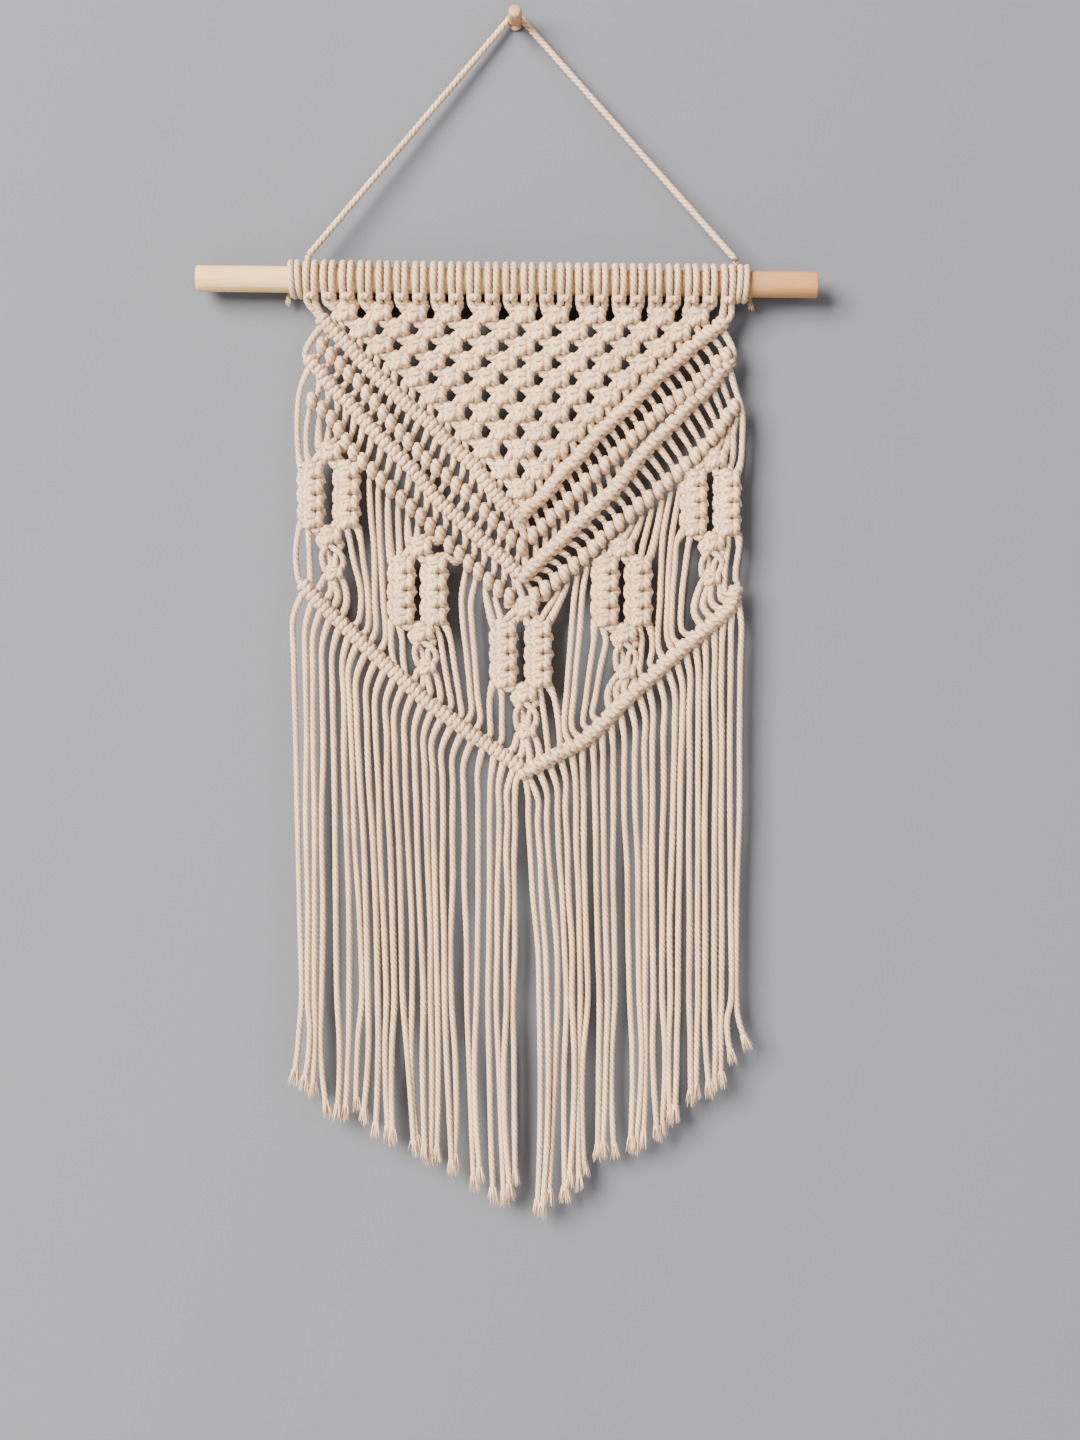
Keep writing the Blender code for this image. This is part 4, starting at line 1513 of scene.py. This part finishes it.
LOOSE_PAIRS = (
    LoosePair(
        "ab", 9,
        (
            ((-70.9, 244.9), (-69.4, 260.2), (-68.9, 286.7), (-68.7, 302.4)),
            ((-66.7, 252.3), (-65.7, 269.5), (-64.8, 286.7), (-64.0, 306.9)),
        ),
    ),
    LoosePair(
        "bc", 19,
        (
            ((-26.2, 284.7), (-25.7, 297.5), (-23.7, 314.7), (-22.2, 331.0), (-21.7, 342.8)),
            ((-21.7, 287.7), (-21.0, 300.5), (-19.8, 314.7), (-18.5, 333.4), (-17.3, 346.7)),
        ),
    ),
    LoosePair(
        "cd", 29,
        (
            ((28.9, 286.7), (27.4, 306.4), (25.5, 331.0), (24.5, 351.6)),
            ((33.3, 281.8), (31.9, 301.5), (29.4, 328.5), (28.4, 350.6)),
        ),
    ),
    LoosePair(
        "de", 39,
        (
            ((72.7, 254.8), (71.8, 271.5), (71.2, 286.7), (70.7, 311.3)),
            ((77.1, 254.8), (75.6, 271.5), (75.1, 286.7), (75.1, 306.4)),
        ),
    ),
)

FRINGE_ROOTS = {
    Half.LEFT: (
        -108.7, -102.8, -98.9, -94.5, -89.6, -84.7, -81.7, -77.8, -72.9, -68.4, -63.5, -59.1, -54.2,
        -49.3, -44.8, -40.9, -36.0, -30.6, -25.2, -18.3, -11.9, -8.0, -4.0, -0.1,
    ),
    Half.RIGHT: (
        6.3, 11.2, 15.6, 20.5, 25.0, 29.4, 33.3, 38.7, 43.2, 48.1, 53.5, 58.9, 63.8, 67.7, 73.2,
        78.1, 82.0, 85.9, 89.9, 93.8, 98.2, 101.7, 106.1, 111.0,
    ),
}
FRINGE_MIDDLES = {
    Half.LEFT: (
        -105.3, -101.9, -98.4, -95.0, -87.6, -81.2, -75.8, -71.9, -67.4, -63.5, -59.1, -55.2, -50.2,
        -45.3, -41.4, -38.0, -35.0, -31.6, -23.7, -18.8, -12.9, -8.9, -4.0, -0.6,
    ),
    Half.RIGHT: (
        11.7, 15.6, 21.0, 25.0, 28.4, 31.9, 35.3, 41.2, 45.1, 49.1, 56.4, 61.4, 64.3, 67.7, 72.2,
        76.1, 79.5, 85.9, 89.9, 93.3, 97.7, 101.2, 105.6, 109.0,
    ),
}
FRINGE_TIPS = {
    Half.LEFT: (
        (-108.3, 528.6), (-103.3, 531.5), (-99.4, 534.5), (-93.0, 544.3), (-87.1, 545.8),
        (-83.2, 545.8), (-78.3, 542.3), (-74.3, 547.7), (-68.4, 554.6), (-62.5, 556.1),
        (-60.1, 557.6), (-49.7, 563.5), (-48.3, 561.0), (-44.3, 565.4), (-41.4, 567.9),
        (-38.4, 567.4), (-31.1, 572.8), (-29.6, 569.9), (-20.3, 581.2), (-17.3, 576.3),
        (-10.9, 586.6), (-5.5, 588.6), (-2.6, 584.6), (-0.1, 577.7),
    ),
    Half.RIGHT: (
        (11.2, 592.5), (13.7, 593.5), (16.6, 587.1), (24.5, 586.1), (26.9, 578.7), (31.4, 580.2),
        (33.8, 573.8), (40.7, 565.4), (43.2, 564.0), (48.6, 565.0), (56.9, 561.0), (59.4, 562.5),
        (63.3, 559.1), (69.7, 556.1), (72.2, 553.6), (76.1, 548.7), (78.6, 545.8), (86.4, 538.9),
        (88.9, 536.0), (95.3, 534.5), (97.7, 532.5), (101.2, 529.6), (106.1, 518.7), (113.0, 511.4),
    ),
}
# With the hanger they make forty, as many free cords as may be declared.
DECLARED = {Half.LEFT: 20, Half.RIGHT: 19}


def hitch_across(routes: list[Route], number: int) -> list[Route]:
    """Ties one V of hitch lines over all the cords.

    Args:
        routes: the ends, left to right, above it.
        number: which V, from the top.

    Returns:
        The ends, left to right, below it.
    """
    for line in HITCH_LINES:
        if line.number == number:
            line.tie(routes)
    return pass_holders(routes)


@dataclass
class KnottedWork:
    """All the knotted cord: one route for each of the forty-eight ends."""

    dowel: Dowel
    lay: RopeLay
    fringes: tuple[Fringe, ...]
    routes: list[Route] = field(default_factory=lambda: [Route() for _ in range(CORDS)])

    def tie(self) -> list[Route]:
        """Ties every knot from the dowel down.

        Returns:
            The ends, left to right, as they hang in the fringe.
        """
        order = list(self.routes)
        Heading(self.dowel).tie(order)
        KnotNet().tie(order)
        for number in (1, 2):
            order = hitch_across(order, number)
            for band in BANDS:
                if band.number == number:
                    band.tie(order)
        for motif in MOTIFS:
            motif.tie(order)
        for pair in LOOSE_PAIRS:
            pair.hang(order)
        order = hitch_across(order, 3)
        for fringe in self.fringes:
            fringe.hang(order)
        return order

    def hang(self, cotton: bpy.types.Material) -> None:
        """Skins the cords and fixes each piece in place of its plain solid.

        Args:
            cotton: the cord's material.
        """
        order = self.tie()
        phases = np.random.default_rng(SEED + 5).uniform(0, 2 * math.pi, CORDS)
        skein = Skein(cotton)
        for fringe, start in zip(self.fringes, (0, PER_HALF)):
            fringe.mount(order, self.lay, skein, phases[start:start + PER_HALF])
        for name in sorted(skein.parts):
            if not name.startswith("fringe_"):
                mount_piece(skein.build(name), Slot.COTTON, name)


@dataclass(frozen=True)
class Studio:
    """A plain pale floor and backdrop, soft light from the upper left, and the camera."""

    eye: tuple[float, float, float] = (0.01218, -1.0, -0.3457)
    lens: float = 50.3
    floor_drop: float = 1.05
    backdrop_colour: str = "5e5f65"
    floor_colour: str = "cfcecb"
    board_half: float = 0.9
    board_top: float = 0.5
    board_back: float = 0.0006
    floor_half: float = 1.4
    floor_front: float = 1.6
    aim: Point = (0.0, 0.0, -0.33)
    sensor: float = 36.0
    room_strength: float = 0.3

    def paper(self, name: str, colour: str, one_sided: bool) -> bpy.types.Material:
        """Makes matt painted board.

        Args:
            name: the material's name.
            colour: its sRGB hex colour.
            one_sided: whether it is clear from behind, to let the hanging's back be seen.

        Returns:
            The material.
        """
        material, tree, output = new_material(name)
        shader = add_node(
            tree, "ShaderNodeBsdfPrincipled",
            values={"Base Color": linear(colour), "Roughness": 0.9},
        )
        surface = shader.outputs["BSDF"]
        if one_sided:
            facing = add_node(tree, "ShaderNodeNewGeometry")
            clear = add_node(tree, "ShaderNodeBsdfTransparent")
            surface = add_node(
                tree, "ShaderNodeMixShader",
                links={0: facing.outputs["Backfacing"], 1: surface, 2: clear.outputs["BSDF"]},
            ).outputs["Shader"]
        tree.links.new(surface, output.inputs["Surface"])
        return material

    def sheet(self, name: str, corners: Sequence[Point], material: bpy.types.Material) -> None:
        """Adds one flat sheet of the set.

        Args:
            name: its name.
            corners: its corners in metres.
            material: its finish.
        """
        mesh = bpy.data.meshes.new(name)
        mesh.from_pydata([tuple(corner) for corner in corners], [], [(0, 1, 2, 3)])
        mesh.materials.append(material)
        board = bpy.data.objects.new(name, mesh)
        bpy.context.scene.collection.objects.link(board)

    def light(self, name: str, place: Point, size: float, power: float, colour: str) -> None:
        """Adds one soft box, aimed at the hanging's middle.

        Args:
            name: its name.
            place: where it stands.
            size: its side in metres.
            power: its power in watts.
            colour: its sRGB hex colour.
        """
        data = bpy.data.lights.new(name, "AREA")
        data.shape = "SQUARE"
        data.size = size
        data.energy = power
        data.color = linear(colour)[:3]
        lamp = bpy.data.objects.new(name, data)
        lamp.location = place
        lamp.rotation_euler = (Vector(self.aim) - Vector(place)).to_track_quat("-Z", "Y").to_euler()
        bpy.context.scene.collection.objects.link(lamp)

    def build(self) -> None:
        """Sets up the whole set."""
        low, half, back = -self.floor_drop, self.board_half, self.board_back
        # The backdrop stands where the hanging's wall would be, just behind the peg's back face.
        self.sheet(
            "backdrop",
            [(-half, back, low), (half, back, low), (half, back, self.board_top),
             (-half, back, self.board_top)],
            self.paper("pale grey painted backdrop", self.backdrop_colour, True),
        )
        half, front = self.floor_half, -self.floor_front
        self.sheet(
            "floor",
            [(-half, front, low), (half, front, low), (half, half, low), (-half, half, low)],
            self.paper("pale floor", self.floor_colour, False),
        )
        self.light("key", (-2.5, -2.9, 1.2), 2.5, 1020.0, "fffaf2")
        self.light("fill", (1.9, -2.2, 0.3), 1.6, 26.0, "f4f6ff")
        world = bpy.data.worlds.new("soft room light")
        world.use_nodes = True
        background = world.node_tree.nodes["Background"]
        background.inputs["Color"].default_value = linear("dfe2e6")
        background.inputs["Strength"].default_value = self.room_strength
        bpy.context.scene.world = world
        camera = bpy.data.cameras.new("camera")
        camera.lens = self.lens
        camera.sensor_width = self.sensor
        eye = bpy.data.objects.new("camera", camera)
        eye.location = self.eye
        eye.rotation_euler = (math.pi / 2, 0.0, 0.0)
        bpy.context.scene.collection.objects.link(eye)
        bpy.context.scene.camera = eye


def main() -> None:
    """Builds the set, the wooden parts and all the cord, in that order."""
    logging.basicConfig(level=logging.INFO, format="%(message)s")
    Studio().build()
    dowel = Dowel()
    peg = WallPeg()
    birch = TurnedWood(
        "sanded birch dowel", "d6b681", "c39c65", "9c784e", (0.05, 1.0, 1.0), "cbb0a4",
    )
    beech = TurnedWood(
        "turned beech peg", "b8906f", "a07757", "7a5437", (1.0, 0.06, 1.0), "ffffff", ring_mm=1.4,
    )
    cotton = CottonCord().material()
    dowel.hang(birch)
    peg.hang(beech)
    Hanger(RopeLay(diameter=3.4, pitch=8.6), peg, dowel).hang(cotton)
    fringes = tuple(
        Fringe(half, FRINGE_ROOTS[half], FRINGE_MIDDLES[half], FRINGE_TIPS[half], DECLARED[half])
        for half in Half
    )
    KnottedWork(dowel, RopeLay(), fringes).hang(cotton)


if __name__ == "__main__":
    main()
